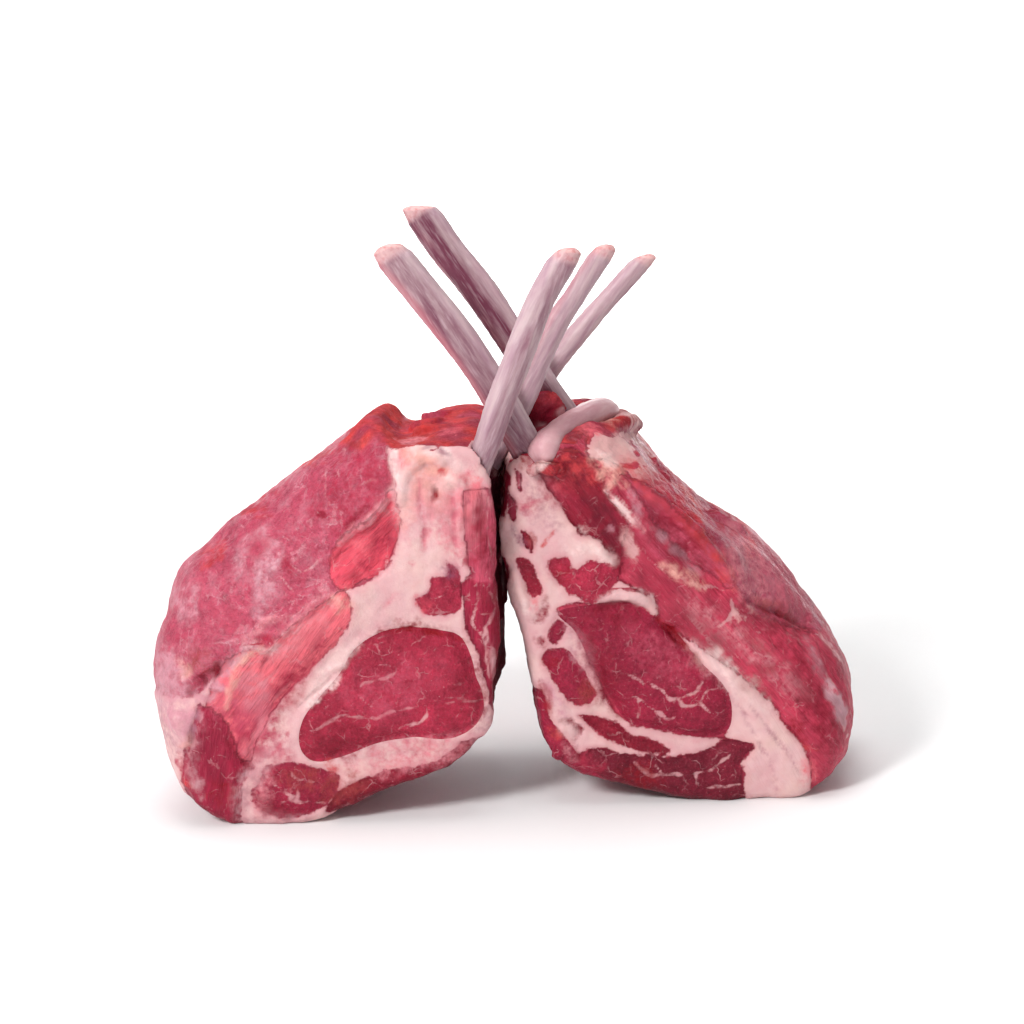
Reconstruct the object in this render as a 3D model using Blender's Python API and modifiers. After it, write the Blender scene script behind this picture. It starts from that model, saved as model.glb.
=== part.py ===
# Two trimmed racks of raw lamb, stood with their inner walls together and their bared ribs crossed.
# The camera side of each rack is its cut face, at low Y. Sizes are millimetres until the mesh is made.
import math

import bmesh
import bpy
import numpy as np
from mathutils import Vector

MM = 0.001
SEAT_GAP = 0.3

# How far each rack leans to the right as it runs back, in degrees.
LEFT_TURN = 5.0
RIGHT_TURN = 8.0

# Where each rack starts, is widest, starts to close and ends, along Y.
LEFT_STATIONS = {"front": -30.0, "closing": 22.0, "back": 44.0}
RIGHT_STATIONS = {"front": -18.0, "closing": 30.0, "back": 50.0}
# Size of the section where a rack starts to close, and of its back cut, against its girth: across and up.
# It shrinks towards a line near the inner wall and halfway up.
CLOSING_SCALE = (0.97, 0.985)
BACK_SCALE = (0.90, 0.93)
CLOSING_HEIGHT = 66.0
LEFT_CLOSING_X = -20.0
RIGHT_CLOSING_X = 20.0

# Mesh fineness: the loft is remeshed finely, given its relief, then thinned to this many triangles.
REMESH_STEP = 2.0
BODY_TRIANGLES = 3600
SMOOTH_PASSES = 5
SPAN_STEPS = 4
QUARTER_STEPS = 6
# Shading turns sharp at edges steeper than this, in degrees.
SHARP_ANGLE = 50.0

# Outline of the left rack's cut face, as (x, z), clockwise from the root of its first rib.
LEFT_FACE = [
    (-9, 128), (-23, 129), (-34, 131), (-37, 126), (-38, 115), (-38, 100), (-46, 86), (-65, 77), (-82, 65),
    (-96, 55), (-105, 44), (-110, 29), (-109, 14), (-101, 4), (-87, -1), (-74, -1), (-57, 7), (-40, 14),
    (-23, 20), (-11, 31), (-8, 43), (-6, 57), (-5, 70), (-6, 85), (-8, 103), (-7, 118),
]
# The same outline where the rack is widest, as (x, y, z).
LEFT_GIRTH = [
    (-9, 5, 131), (-24, 5, 131), (-38, 8, 126), (-46, 4, 134.5), (-55, 3, 127), (-69, 2, 117), (-84, 2, 106),
    (-101, 2, 94), (-114, 2, 81), (-121, 1, 63), (-124, -6, 41), (-119, -13, 22), (-113, -17, 9),
    (-103, -18, 2), (-88, -18, -3), (-72, -18, -1), (-55, -15, 7), (-38, -12, 14), (-22, -10, 20),
    (-10, -8, 32), (-7, -8, 43), (-7, -8, 57), (-6, -8, 70), (-6, -8, 84), (-7, -8, 102), (-7, -8, 117),
]

RIGHT_FACE = [
    (12, 125), (4, 124), (-3, 118), (-4, 103), (-4, 88), (-2, 74), (1, 66), (4, 56), (6, 43), (7, 32),
    (10, 22), (19, 14), (33, 9), (46, 6), (63, 2), (82, 1), (96, 3), (101, 12), (96, 24), (87, 35),
    (76, 45), (67, 53), (59, 62), (52, 76), (46, 90), (41, 102), (35, 111), (29, 118), (21, 124),
]
RIGHT_GIRTH = [
    (14, 2, 131), (5, -2, 128), (-2, -5, 118), (-3, -6, 102), (-3, -6, 86), (-1, -6, 73), (2, -6, 64),
    (4, -6, 56), (6, -6, 43), (7, -4, 31), (10, -3, 20), (18, -1, 11), (31, 0, 6), (44, 2, 3), (62, 2, -1),
    (85, 0, -2), (101, -5, 1), (110, -6, 9), (114, -2, 17), (116, 2, 27), (114, 5, 38), (109, 8, 48),
    (102, 11, 58), (92, 13, 72), (80, 16, 85), (66, 19, 94), (54, 21, 106), (44, 23, 118), (31, 24, 130),
]

# The loin eye is the round muscle that runs the whole length of a rack.
LEFT_EYE = [
    (-54, 61), (-45, 67), (-36, 68.5), (-26, 67.5), (-18.5, 65), (-15, 58), (-13.5, 51), (-11.5, 45),
    (-11.5, 38), (-16, 32), (-24, 29), (-35, 30), (-48, 28), (-60, 23.5), (-69, 22.5), (-73.5, 28),
    (-72, 37), (-66, 45), (-59, 53),
]
RIGHT_EYE = [
    (14.5, 68.5), (22, 71), (32, 72), (41, 71), (48, 65.5), (55, 59.5), (62, 51), (70, 42.5), (73, 34),
    (71, 25), (61, 23.5), (48, 26.5), (38, 29), (33.5, 35), (28.5, 45), (24, 54), (20, 62),
]

# Folds on the camera side only, each a path of (x, z), how far it reaches to the left and to the right of
# that path, and how high it stands, or how deep it lies.
LEFT_FOLDS = [
    ([(-40, 100), (-38, 108), (-38, 118), (-36, 127)], 12.0, 2.2, -2.6),
    ([(-58, 84), (-46, 88), (-40, 98)], 9.0, 2.4, -2.4),
    ([(-42, 110), (-48, 96), (-57, 88)], 5.0, 5.0, 2.0),
    ([(-93, 65), (-83, 65), (-76, 71), (-66, 78), (-57, 82)], 2.6, 13.0, 3.4),
    ([(-112, 55), (-107, 49), (-101, 46)], 3.0, 3.0, -4.0),
]
RIGHT_FOLDS = [
    ([(40, 114), (50, 103), (62, 93), (74, 81)], 3.0, 7.0, 3.4),
    ([(48, 94), (55, 88), (66, 78), (70, 74)], 2.5, 2.0, -3.5),
    ([(80, 67), (93, 61), (103, 57)], 3.0, 3.0, -3.0),
    ([(48, 67), (57, 58)], 2.5, 2.0, -2.0),
    ([(22, 71), (36, 73), (47, 69)], 2.0, 4.0, 1.4),
    ([(62, 56), (76, 40), (90, 14)], 5.0, 6.0, 1.4),
]
# Seams of fat that lie low between the muscles at both cuts, in the same form.
LEFT_SEAMS = [
    ([(-51, 67), (-62, 55), (-73, 44), (-82, 32), (-91, 19), (-92, 5)], 2.8, 2.8, -1.5),
    ([(-68, 19), (-52, 20), (-38, 23), (-22, 24), (-9, 33)], 3.0, 3.0, -1.4),
]
RIGHT_SEAMS = [
    ([(20, 34), (34, 30), (48, 24), (70, 22)], 2.5, 2.5, -1.3),
    ([(18, 66), (23, 50), (31, 36)], 2.5, 2.5, -1.2),
]
# How far a loin eye stands out of the cuts around it, and how far in from its rim it reaches that height.
EYE_SWELL = 1.8
EYE_SWELL_WIDTH = 6.0
# Gentle unevenness of the outer walls: height, length of a wave along the rack, and around it.
WALL_SWELL = (0.9, 27.0, 38.0)
# How far up a wave along the rack, and how far back a wave around it, takes to drift by one radian.
WALL_DRIFT = (15.0, 12.0)
# A surface counts as a cut, and as facing the camera side, from the first to the second of these slopes.
CUT_SLOPE = (0.3, 0.8)
CAMERA_SLOPE = (0.0, 0.33)

# Each rib: the middle of its bone from the sawn tip down into the meat as (x, y, z), its half width seen
# from the front and its half depth, both at the tip and at the root, and the slope of the sawn tip.
# The bar of blade cartilage on the right rack has the same form, and the two ribs beside it notch it.
CARTILAGE = "right_blade_cartilage"
RIBS = {
    CARTILAGE: {
        "path": [(10, -17, 123), (14, -9, 127), (19, -1, 129), (25, 8, 130), (31, 18, 130), (35, 28, 128)],
        "half_width": (2.8, 2.8), "half_depth": (3.6, 4.0), "tip_slope": 0.0,
    },
    "left_rib_1": {
        "path": [(21.2, -29, 194.5), (16, -29, 186), (11.3, -29, 178), (7, -29, 168), (2.7, -29, 157),
                 (-2.3, -28, 145), (-6.9, -26.5, 131.5), (-10.5, -24, 122), (-15, -20, 110),
                 (-19, -18, 100)],
        "half_width": (4.8, 4.8), "half_depth": (3.9, 4.2), "tip_slope": -0.55,
    },
    "left_rib_2": {
        "path": [(34.2, -5, 191.5), (27.8, -5, 182), (22.2, -5, 173.5), (16.6, -5, 165.5), (11.2, -5, 154.5),
                 (6.4, -5, 143), (0, -5, 130), (-6, -5, 120), (-12, -5, 108), (-16, -5, 99)],
        "half_width": (4.0, 4.1), "half_depth": (3.4, 3.8), "tip_slope": -0.5,
    },
    "left_rib_3": {
        "path": [(49, 22, 183.5), (40.4, 22, 174.2), (32.4, 22, 165.8), (25.4, 22, 157.9), (18.4, 22, 149.6),
                 (10.8, 22, 139.5), (3.4, 22, 130), (-3, 22, 119), (-8, 22, 108), (-12, 22, 99)],
        "half_width": (3.6, 3.9), "half_depth": (3.2, 3.5), "tip_slope": -0.8,
    },
    "right_rib_1": {
        "path": [(-39.4, -17, 195), (-30.4, -17, 182.7), (-23.7, -17, 173.8), (-17.6, -17, 165.6),
                 (-11.9, -16.5, 157.4), (-6.8, -15.5, 148.7), (-2.7, -14.5, 141), (3.4, -13.4, 128.5),
                 (9.5, -9.5, 116.5), (16, -7, 103.5)],
        "half_width": (6.0, 6.0), "half_depth": (4.2, 4.3), "tip_slope": 0.35,
    },
    "right_rib_2": {
        "path": [(-29.4, 9.5, 204), (-20.6, 9.5, 190), (-13.7, 9.5, 181), (-7.7, 9.5, 172.6),
                 (-2.6, 9.5, 164.3), (2.7, 9.5, 155.5), (10.5, 9.5, 142.5), (16.5, 10, 133), (24, 12, 121),
                 (30, 14, 110)],
        "half_width": (6.0, 5.6), "half_depth": (4.2, 4.3), "tip_slope": 0.5,
    },
}
RIB_SIDES = 10
RIB_RINGS = 21
RIB_SPAN_STEPS = 6
# Slow swelling of a rib along its length, as share of its width and number of radians from tip to root.
RIB_WAVER = ((0.035, 9.0), (0.02, 23.0))
# Width of the first ring and of the last two, as a share of the rib's own, and rings the tip slopes over.
TIP_SHARE = 0.86
ROOT_SHARES = (0.85, 0.45)
TIP_FADE_RINGS = 3

EYE_OVERRUN = 15.0

RACKS = {
    "left": {"face": LEFT_FACE, "girth": LEFT_GIRTH, "stations": LEFT_STATIONS, "turn": LEFT_TURN,
             "closing_x": LEFT_CLOSING_X, "folds": LEFT_FOLDS, "seams": LEFT_SEAMS, "eye": LEFT_EYE},
    "right": {"face": RIGHT_FACE, "girth": RIGHT_GIRTH, "stations": RIGHT_STATIONS, "turn": RIGHT_TURN,
              "closing_x": RIGHT_CLOSING_X, "folds": RIGHT_FOLDS, "seams": RIGHT_SEAMS, "eye": RIGHT_EYE},
}

# Colour and roughness of each tissue.
FINISHES = {
    "red_meat": ((0.46, 0.06, 0.09), 0.38),
    "loin_muscle": ((0.36, 0.03, 0.06), 0.35),
    "rib_bone": ((0.66, 0.42, 0.42), 0.45),
    "cartilage": ((0.66, 0.45, 0.47), 0.4),
}


def clear_scene():
    for thing in list(bpy.data.objects):
        bpy.data.objects.remove(thing, do_unlink=True)


def new_collection(name):
    group = bpy.data.collections.new(name)
    bpy.context.scene.collection.children.link(group)
    return group


def finish(name):
    """The plain wet surface of one kind of tissue."""
    colour, roughness = FINISHES[name]
    material = bpy.data.materials.new(name)
    material.use_nodes = True
    shader = material.node_tree.nodes["Principled BSDF"]
    shader.inputs["Base Color"].default_value = (*colour, 1.0)
    shader.inputs["Roughness"].default_value = roughness
    shader.inputs["Metallic"].default_value = 0.0
    return material


def smooth_line(points, steps, closed):
    """A curve through all of the points, as many steps to each span."""
    knots = np.array(points, dtype=float)
    count = len(knots)
    if closed:
        before, after = knots[np.arange(-1, count - 1)], knots[(np.arange(count) + 1) % count]
        beyond, spans = knots[(np.arange(count) + 2) % count], range(count)
    else:
        long = np.vstack([2 * knots[0] - knots[1], knots, 2 * knots[-1] - knots[-2]])
        before, after, beyond, spans = long[:-3], long[2:-1], long[3:], range(count - 1)
    line = []
    for i in spans:
        a, b, c, d = before[i], knots[i], after[i], beyond[i]
        for t in np.arange(steps) / steps:
            line.append(0.5 * (2 * b + (c - a) * t + (2 * a - 5 * b + 4 * c - d) * t ** 2
                               + (3 * b - a - 3 * c + d) * t ** 3))
    if not closed:
        line.append(knots[-1])
    return np.array(line)


def loft(name, rings, group, material):
    """A closed body through rings of like point counts, with a flat lid at each end."""
    shape = bmesh.new()
    rows = [[shape.verts.new(Vector(point) * MM) for point in ring] for ring in rings]
    for row, following in zip(rows, rows[1:]):
        for i in range(len(row)):
            j = (i + 1) % len(row)
            shape.faces.new((row[i], row[j], following[j], following[i]))
    shape.faces.new(rows[0])
    shape.faces.new(list(reversed(rows[-1])))
    bmesh.ops.recalc_face_normals(shape, faces=shape.faces)
    mesh = bpy.data.meshes.new(name)
    shape.to_mesh(mesh)
    shape.free()
    body = bpy.data.objects.new(name, mesh)
    body.data.materials.append(material)
    group.objects.link(body)
    return body


def bake_modifiers(body):
    """Replaces the object's mesh with what its modifiers make of it."""
    bpy.context.view_layer.update()
    ready = body.evaluated_get(bpy.context.evaluated_depsgraph_get())
    mesh = bpy.data.meshes.new_from_object(ready)
    body.modifiers.clear()
    body.data = mesh


def stroke_distance(points, path):
    """Distance of every (x, z) point from a bent line, and whether it lies to the left of the line."""
    nearest = np.full(len(points), 1e9)
    on_left = np.zeros(len(points), dtype=bool)
    for start, end in zip(path, path[1:]):
        start, along = np.array(start, dtype=float), np.subtract(end, start)
        away = points - start
        place = np.clip(away @ along / (along @ along), 0, 1)
        gap = np.linalg.norm(away - place[:, None] * along, axis=1)
        closer = gap < nearest
        nearest[closer] = gap[closer]
        on_left[closer] = (along[0] * away[:, 1] - along[1] * away[:, 0])[closer] > 0
    return nearest, on_left


def stroke_rise(points, path, reach_left, reach_right, height):
    """A raised or sunken line that dies away at its own rate on each side."""
    line = smooth_line(path, SPAN_STEPS, False)
    gap, on_left = stroke_distance(points, line)
    return height * np.exp(-(gap / np.where(on_left, reach_left, reach_right)) ** 2)


def inside_outline(points, outline):
    """Whether each (x, z) point lies inside a closed outline."""
    inside = np.zeros(len(points), dtype=bool)
    x, z = points[:, 0], points[:, 1]
    for (x0, z0), (x1, z1) in zip(outline, np.roll(outline, -1, axis=0)):
        crosses = (z0 > z) != (z1 > z)
        with np.errstate(divide="ignore", invalid="ignore"):
            inside ^= crosses & (x < (x1 - x0) * (z - z0) / (z1 - z0) + x0)
    return inside


def soft_step(value):
    value = np.clip(value, 0, 1)
    return value * value * (3 - 2 * value)


def add_relief(body, rack):
    """Moves the surface along its facing: muscles swell at both cuts, seams sink, folds stand in front."""
    mesh = body.data
    count = len(mesh.vertices)
    place = np.empty(count * 3)
    facing = np.empty(count * 3)
    mesh.vertices.foreach_get("co", place)
    mesh.vertex_normals.foreach_get("vector", facing)
    place, facing = place.reshape(-1, 3) / MM, facing.reshape(-1, 3)
    lean = math.tan(math.radians(rack["turn"]))
    section = np.column_stack([place[:, 0] - (place[:, 1] - rack["stations"]["front"]) * lean, place[:, 2]])
    rim = smooth_line(rack["eye"], SPAN_STEPS, True)
    depth, _ = stroke_distance(section, np.vstack([rim, rim[:1]]))
    depth = np.where(inside_outline(section, rim), depth, 0)
    at_cut = soft_step((np.abs(facing[:, 1]) - CUT_SLOPE[0]) / (CUT_SLOPE[1] - CUT_SLOPE[0]))
    rise = EYE_SWELL * soft_step(depth / EYE_SWELL_WIDTH) * at_cut
    for stroke in rack["seams"]:
        rise += stroke_rise(section, *stroke) * at_cut
    camera_side = soft_step((-facing[:, 1] - CAMERA_SLOPE[0]) / (CAMERA_SLOPE[1] - CAMERA_SLOPE[0]))
    for stroke in rack["folds"]:
        rise += stroke_rise(place[:, [0, 2]], *stroke) * camera_side
    height, length, around = WALL_SWELL
    up, back = WALL_DRIFT
    wave = np.sin(2 * math.pi * place[:, 1] / length + place[:, 2] / up)
    wave += np.sin(2 * math.pi * (place[:, 0] + place[:, 2]) / around + place[:, 1] / back)
    rise += height * wave / 2 * (1 - at_cut)
    place += facing * rise[:, None]
    place[:, 2] = np.maximum(place[:, 2], 0)
    mesh.vertices.foreach_set("co", (place * MM).ravel())
    mesh.update()


def rack_rings(rack):
    """The rack's cross sections from front to back: it swells from the cut face to its girth, and closes."""
    stations = rack["stations"]
    front = smooth_line(rack["face"], SPAN_STEPS, True)
    front = np.column_stack([front[:, 0], np.full(len(front), stations["front"]), front[:, 1]])
    wide = smooth_line(rack["girth"], SPAN_STEPS, True)
    lean = math.tan(math.radians(rack["turn"]))
    rings = []
    for step in range(QUARTER_STEPS + 1):
        angle = math.pi / 2 * step / QUARTER_STEPS
        out, ahead = math.sin(angle), math.cos(angle)
        ring = front + (wide - front) * out
        ring[:, 1] = wide[:, 1] + (front[:, 1] - wide[:, 1]) * ahead
        rings.append(ring)
    closing = wide.copy()
    closing[:, 0] += (stations["closing"] - wide[:, 1]) * lean
    closing[:, 1] = stations["closing"]
    middle = np.array([rack["closing_x"], stations["closing"], CLOSING_HEIGHT])
    far = stations["back"] - stations["closing"]
    for step in range(QUARTER_STEPS + 1):
        angle = math.pi / 2 * step / QUARTER_STEPS
        scale_x, scale_z = (near * math.cos(angle) + end * (1 - math.cos(angle))
                            for near, end in zip(CLOSING_SCALE, BACK_SCALE))
        ring = middle + (closing - middle) * (scale_x, 1, scale_z)
        ring[:, 1] = stations["closing"] + far * math.sin(angle)
        ring[:, 0] += far * math.sin(angle) * lean
        rings.append(ring)
    return rings


def rack_body(name, rack, group, material):
    """One rack's flesh as a single body, before its ribs and its loin eye are cut."""
    body = loft(name, rack_rings(rack), group, material)
    fine = body.modifiers.new("even_mesh", "REMESH")
    fine.mode = "VOXEL"
    fine.voxel_size = REMESH_STEP * MM
    soft = body.modifiers.new("soft_edges", "SMOOTH")
    soft.factor = 0.5
    soft.iterations = SMOOTH_PASSES
    bake_modifiers(body)
    add_relief(body, rack)
    body.data.calc_loop_triangles()
    thin = body.modifiers.new("fewer_faces", "DECIMATE")
    thin.ratio = BODY_TRIANGLES / len(body.data.loop_triangles)
    thin.use_collapse_triangulate = True
    bake_modifiers(body)
    return body


def as_cutter(body):
    body.hide_render = True
    body.display_type = "WIRE"
    return body


def grown_outline(outline, amount):
    """A closed (x, z) outline moved outward by an even amount."""
    line = smooth_line(outline, SPAN_STEPS, True)
    ahead, behind = np.roll(line, -1, axis=0), np.roll(line, 1, axis=0)
    along = ahead - behind
    along /= np.linalg.norm(along, axis=1)[:, None]
    side = np.column_stack([-along[:, 1], along[:, 0]])
    area = np.sum(line[:, 0] * ahead[:, 1] - ahead[:, 0] * line[:, 1])
    return line - side * amount * (1 if area > 0 else -1)


def eye_core(name, rack, growth, group, material):
    """The loin eye's outline run through the whole rack, past both cuts, as a cutter."""
    line = grown_outline(rack["eye"], growth)
    lean = math.tan(math.radians(rack["turn"]))
    front, back = rack["stations"]["front"], rack["stations"]["back"]
    rings = []
    for y in (front - EYE_OVERRUN, front, back + EYE_OVERRUN):
        rings.append([(x + (y - front) * lean, y, z) for x, z in line])
    return as_cutter(loft(name, rings, group, material))


def rib_rings(rib, growth):
    """Oval sections along a rib, from its sawn tip to the rounded end inside the meat."""
    path = smooth_line(rib["path"], RIB_SPAN_STEPS, False)
    length = np.concatenate([[0], np.cumsum(np.linalg.norm(np.diff(path, axis=0), axis=1))])
    stops = np.linspace(0, length[-1], RIB_RINGS)
    middle = np.column_stack([np.interp(stops, length, path[:, i]) for i in range(3)])
    along = np.gradient(middle, axis=0)
    along /= np.linalg.norm(along, axis=1)[:, None]
    if growth:
        middle[0] -= along[0] * growth
        middle[-1] += along[-1] * growth
    shares = np.ones(RIB_RINGS)
    shares[0] = TIP_SHARE
    shares[-2:] = ROOT_SHARES
    rings = []
    for i, (centre, way) in enumerate(zip(middle, along)):
        part = i / (RIB_RINGS - 1)
        side = np.cross(way, (0, 1, 0))
        side /= np.linalg.norm(side)
        deep = np.cross(side, way)
        (slow, slow_turn), (quick, quick_turn) = RIB_WAVER
        swell = 1 + slow * math.sin(slow_turn * part + rib["half_width"][0])
        swell += quick * math.sin(quick_turn * part)
        wide = np.interp(part, (0, 1), rib["half_width"]) * swell * shares[i] + growth
        thick = np.interp(part, (0, 1), rib["half_depth"]) * swell * shares[i] + growth
        slope = rib["tip_slope"] * max(0, 1 - i / TIP_FADE_RINGS)
        ring = []
        for k in range(RIB_SIDES):
            turn = 2 * math.pi * k / RIB_SIDES
            out = side * wide * math.cos(turn) + deep * thick * math.sin(turn)
            ring.append(centre + out + way * slope * wide * math.cos(turn))
        rings.append(ring)
    return rings


def cut(body, cutter, operation="DIFFERENCE"):
    tool = body.modifiers.new(cutter.name, "BOOLEAN")
    tool.operation = operation
    tool.solver = "EXACT"
    tool.object = cutter


def build_rack(side, rack, parts, cutters, finishes):
    """The flesh of one rack and the loin eye that runs through it, split by a thin even gap."""
    meat = rack_body(side + "_meat", rack, parts, finishes["red_meat"])
    muscle = meat.copy()
    muscle.data = meat.data.copy()
    muscle.name = side + "_loin_eye"
    muscle.data.materials.clear()
    muscle.data.materials.append(finishes["loin_muscle"])
    parts.objects.link(muscle)
    cut(meat, eye_core(side + "_eye_socket", rack, SEAT_GAP, cutters, finishes["red_meat"]))
    cut(muscle, eye_core(side + "_eye_core", rack, 0.0, cutters, finishes["red_meat"]), "INTERSECT")
    return meat


def stand_on_origin(parts, groups):
    """Moves the whole model so that the origin lies under its middle, on the surface it stands on."""
    bpy.context.view_layer.update()
    depsgraph = bpy.context.evaluated_depsgraph_get()
    corners = []
    for body in parts.objects:
        mesh = body.evaluated_get(depsgraph).to_mesh()
        place = np.empty(len(mesh.vertices) * 3)
        mesh.vertices.foreach_get("co", place)
        place = place.reshape(-1, 3)
        corners += [place.min(axis=0), place.max(axis=0)]
    low, high = np.min(corners, axis=0), np.max(corners, axis=0)
    shift = Vector((-(low[0] + high[0]) / 2, -(low[1] + high[1]) / 2, -low[2]))
    for group in groups:
        for body in group.objects:
            body.location = shift


def main():
    clear_scene()
    parts = new_collection("rack_of_lamb")
    cutters = new_collection("cutters")
    finishes = {name: finish(name) for name in FINISHES}
    meats = [build_rack(side, rack, parts, cutters, finishes) for side, rack in RACKS.items()]
    cartilage = None
    for name, rib in RIBS.items():
        tissue = finishes["cartilage" if name == CARTILAGE else "rib_bone"]
        piece = loft(name, rib_rings(rib, 0.0), parts, tissue)
        piece.data.shade_smooth()
        piece.data.set_sharp_from_angle(angle=math.radians(SHARP_ANGLE))
        socket = as_cutter(loft(name + "_socket", rib_rings(rib, SEAT_GAP), cutters, tissue))
        for meat in meats:
            cut(meat, socket)
        if cartilage and name.startswith("right"):
            cut(cartilage, socket)
        if name == CARTILAGE:
            cartilage = piece
    stand_on_origin(parts, (parts, cutters))


main()
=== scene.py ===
"""Looks of a raw rack of lamb: two trimmed racks stood together, their bared ribs crossed above the meat."""

import math

import bmesh
import bpy
import numpy as np
from bpy.props import FloatProperty, FloatVectorProperty, PointerProperty
from mathutils import Matrix, Vector, kdtree, noise
from mathutils.bvhtree import BVHTree


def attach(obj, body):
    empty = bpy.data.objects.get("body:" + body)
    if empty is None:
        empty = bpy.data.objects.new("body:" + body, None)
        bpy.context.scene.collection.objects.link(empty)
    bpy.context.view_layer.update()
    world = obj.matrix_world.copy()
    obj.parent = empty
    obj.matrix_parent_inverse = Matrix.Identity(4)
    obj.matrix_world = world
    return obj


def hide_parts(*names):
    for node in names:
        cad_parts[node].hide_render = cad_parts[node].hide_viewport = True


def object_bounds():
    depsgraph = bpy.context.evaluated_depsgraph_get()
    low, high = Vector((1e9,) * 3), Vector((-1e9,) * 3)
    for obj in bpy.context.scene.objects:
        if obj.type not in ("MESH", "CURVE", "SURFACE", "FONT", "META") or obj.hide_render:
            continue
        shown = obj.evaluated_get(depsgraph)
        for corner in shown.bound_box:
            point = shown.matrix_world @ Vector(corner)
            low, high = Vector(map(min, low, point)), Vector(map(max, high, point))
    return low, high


bl_info = {
    "name": "Raw rack of lamb",
    "version": (1, 0, 0),
    "blender": (4, 5, 0),
    "location": "View3D > Sidebar > Lamb",
    "description": "Builds the flesh, ribs and cartilage of a raw rack of lamb, and the stage they stand on",
    "category": "Add Mesh",
}

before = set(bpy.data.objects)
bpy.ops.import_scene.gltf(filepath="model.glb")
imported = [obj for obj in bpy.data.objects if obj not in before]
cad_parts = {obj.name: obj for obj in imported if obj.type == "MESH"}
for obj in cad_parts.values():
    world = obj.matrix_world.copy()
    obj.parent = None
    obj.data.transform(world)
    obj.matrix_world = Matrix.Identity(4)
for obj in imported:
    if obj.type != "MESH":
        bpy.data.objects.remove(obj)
CAD_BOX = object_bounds()

MM = 0.001
# Outlines are drawn in millimetres, as (x, z) seen from the cut faces. All lengths below are in the drawing's
# millimetres too. Its zero lies here in the frame.
DRAWING_ZERO = np.array((3.11, -9.22, 0.006))

# Each rack leans to the right by this angle as it runs back from its front station.
TURN = {"left": 5.0, "right": 8.0}
FRONT = {"left": -30.0, "right": -18.0}
BACK = {"left": 44.0, "right": 50.0}

# Tissue colours, before the light falls on them. Some of them stand in for light: the tone of the walls
# between the racks is painted shade of the narrow gap, fat_shade is fat painted darker as shade, the dark and
# blood tones also serve as painted shade in hollows, slits and under the fat tongue, and cream serves partly
# as painted highlight on lips and crowns.
TONES = {
    "wine": "86192d", "garnet": "94203a", "ruby": "a62a42", "rose": "bb4a60", "blush": "d6868f",
    "coral": "d64c5e", "salmon": "e26874", "plum": "721a2c", "crimson": "b63a50", "outer": "b4495f",
    "outer_right": "a84058", "fat": "dbb1b2", "fat_warm": "d9a3a2", "fat_deep": "c9959a",
    "fat_shade": "b8848b", "lump": "d5a8ac", "top": "983444", "ember": "c03c3c", "dark": "7c1428",
    "inner": "5a101e", "cream": "efd0cd", "peach": "e2a398", "flame": "c64044", "blood_and_shade": "8c0e1a",
    "lilac": "c98c98", "silver": "d8b0ba", "purple": "8c4a60", "rust": "9c3c3c",
}
# The lean that shows where no outline paints anything: on the outside, and in the eye muscle.
OUTER_TONE = {"left": "outer", "right": "outer_right"}
EYE_TONE = {"left": "ruby", "right": "garnet"}

EYE = {
    "left": [
        (-54, 61), (-45, 67), (-36, 68.5), (-26, 67.5), (-18.5, 65), (-15, 58), (-13.5, 51), (-11.5, 45),
        (-11.5, 38), (-16, 32), (-24, 29), (-35, 30), (-48, 28), (-60, 23.5), (-69, 22.5), (-73.5, 28),
        (-72, 37), (-66, 45), (-59, 53),
    ],
    "right": [
        (14.5, 68.5), (22, 71), (32, 72), (41, 71), (48, 65.5), (55, 59.5), (62, 51), (70, 42.5), (73, 34),
        (71, 25), (61, 23.5), (48, 26.5), (38, 29), (33.5, 35), (28.5, 45), (24, 54), (20, 62),
    ],
}

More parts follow.
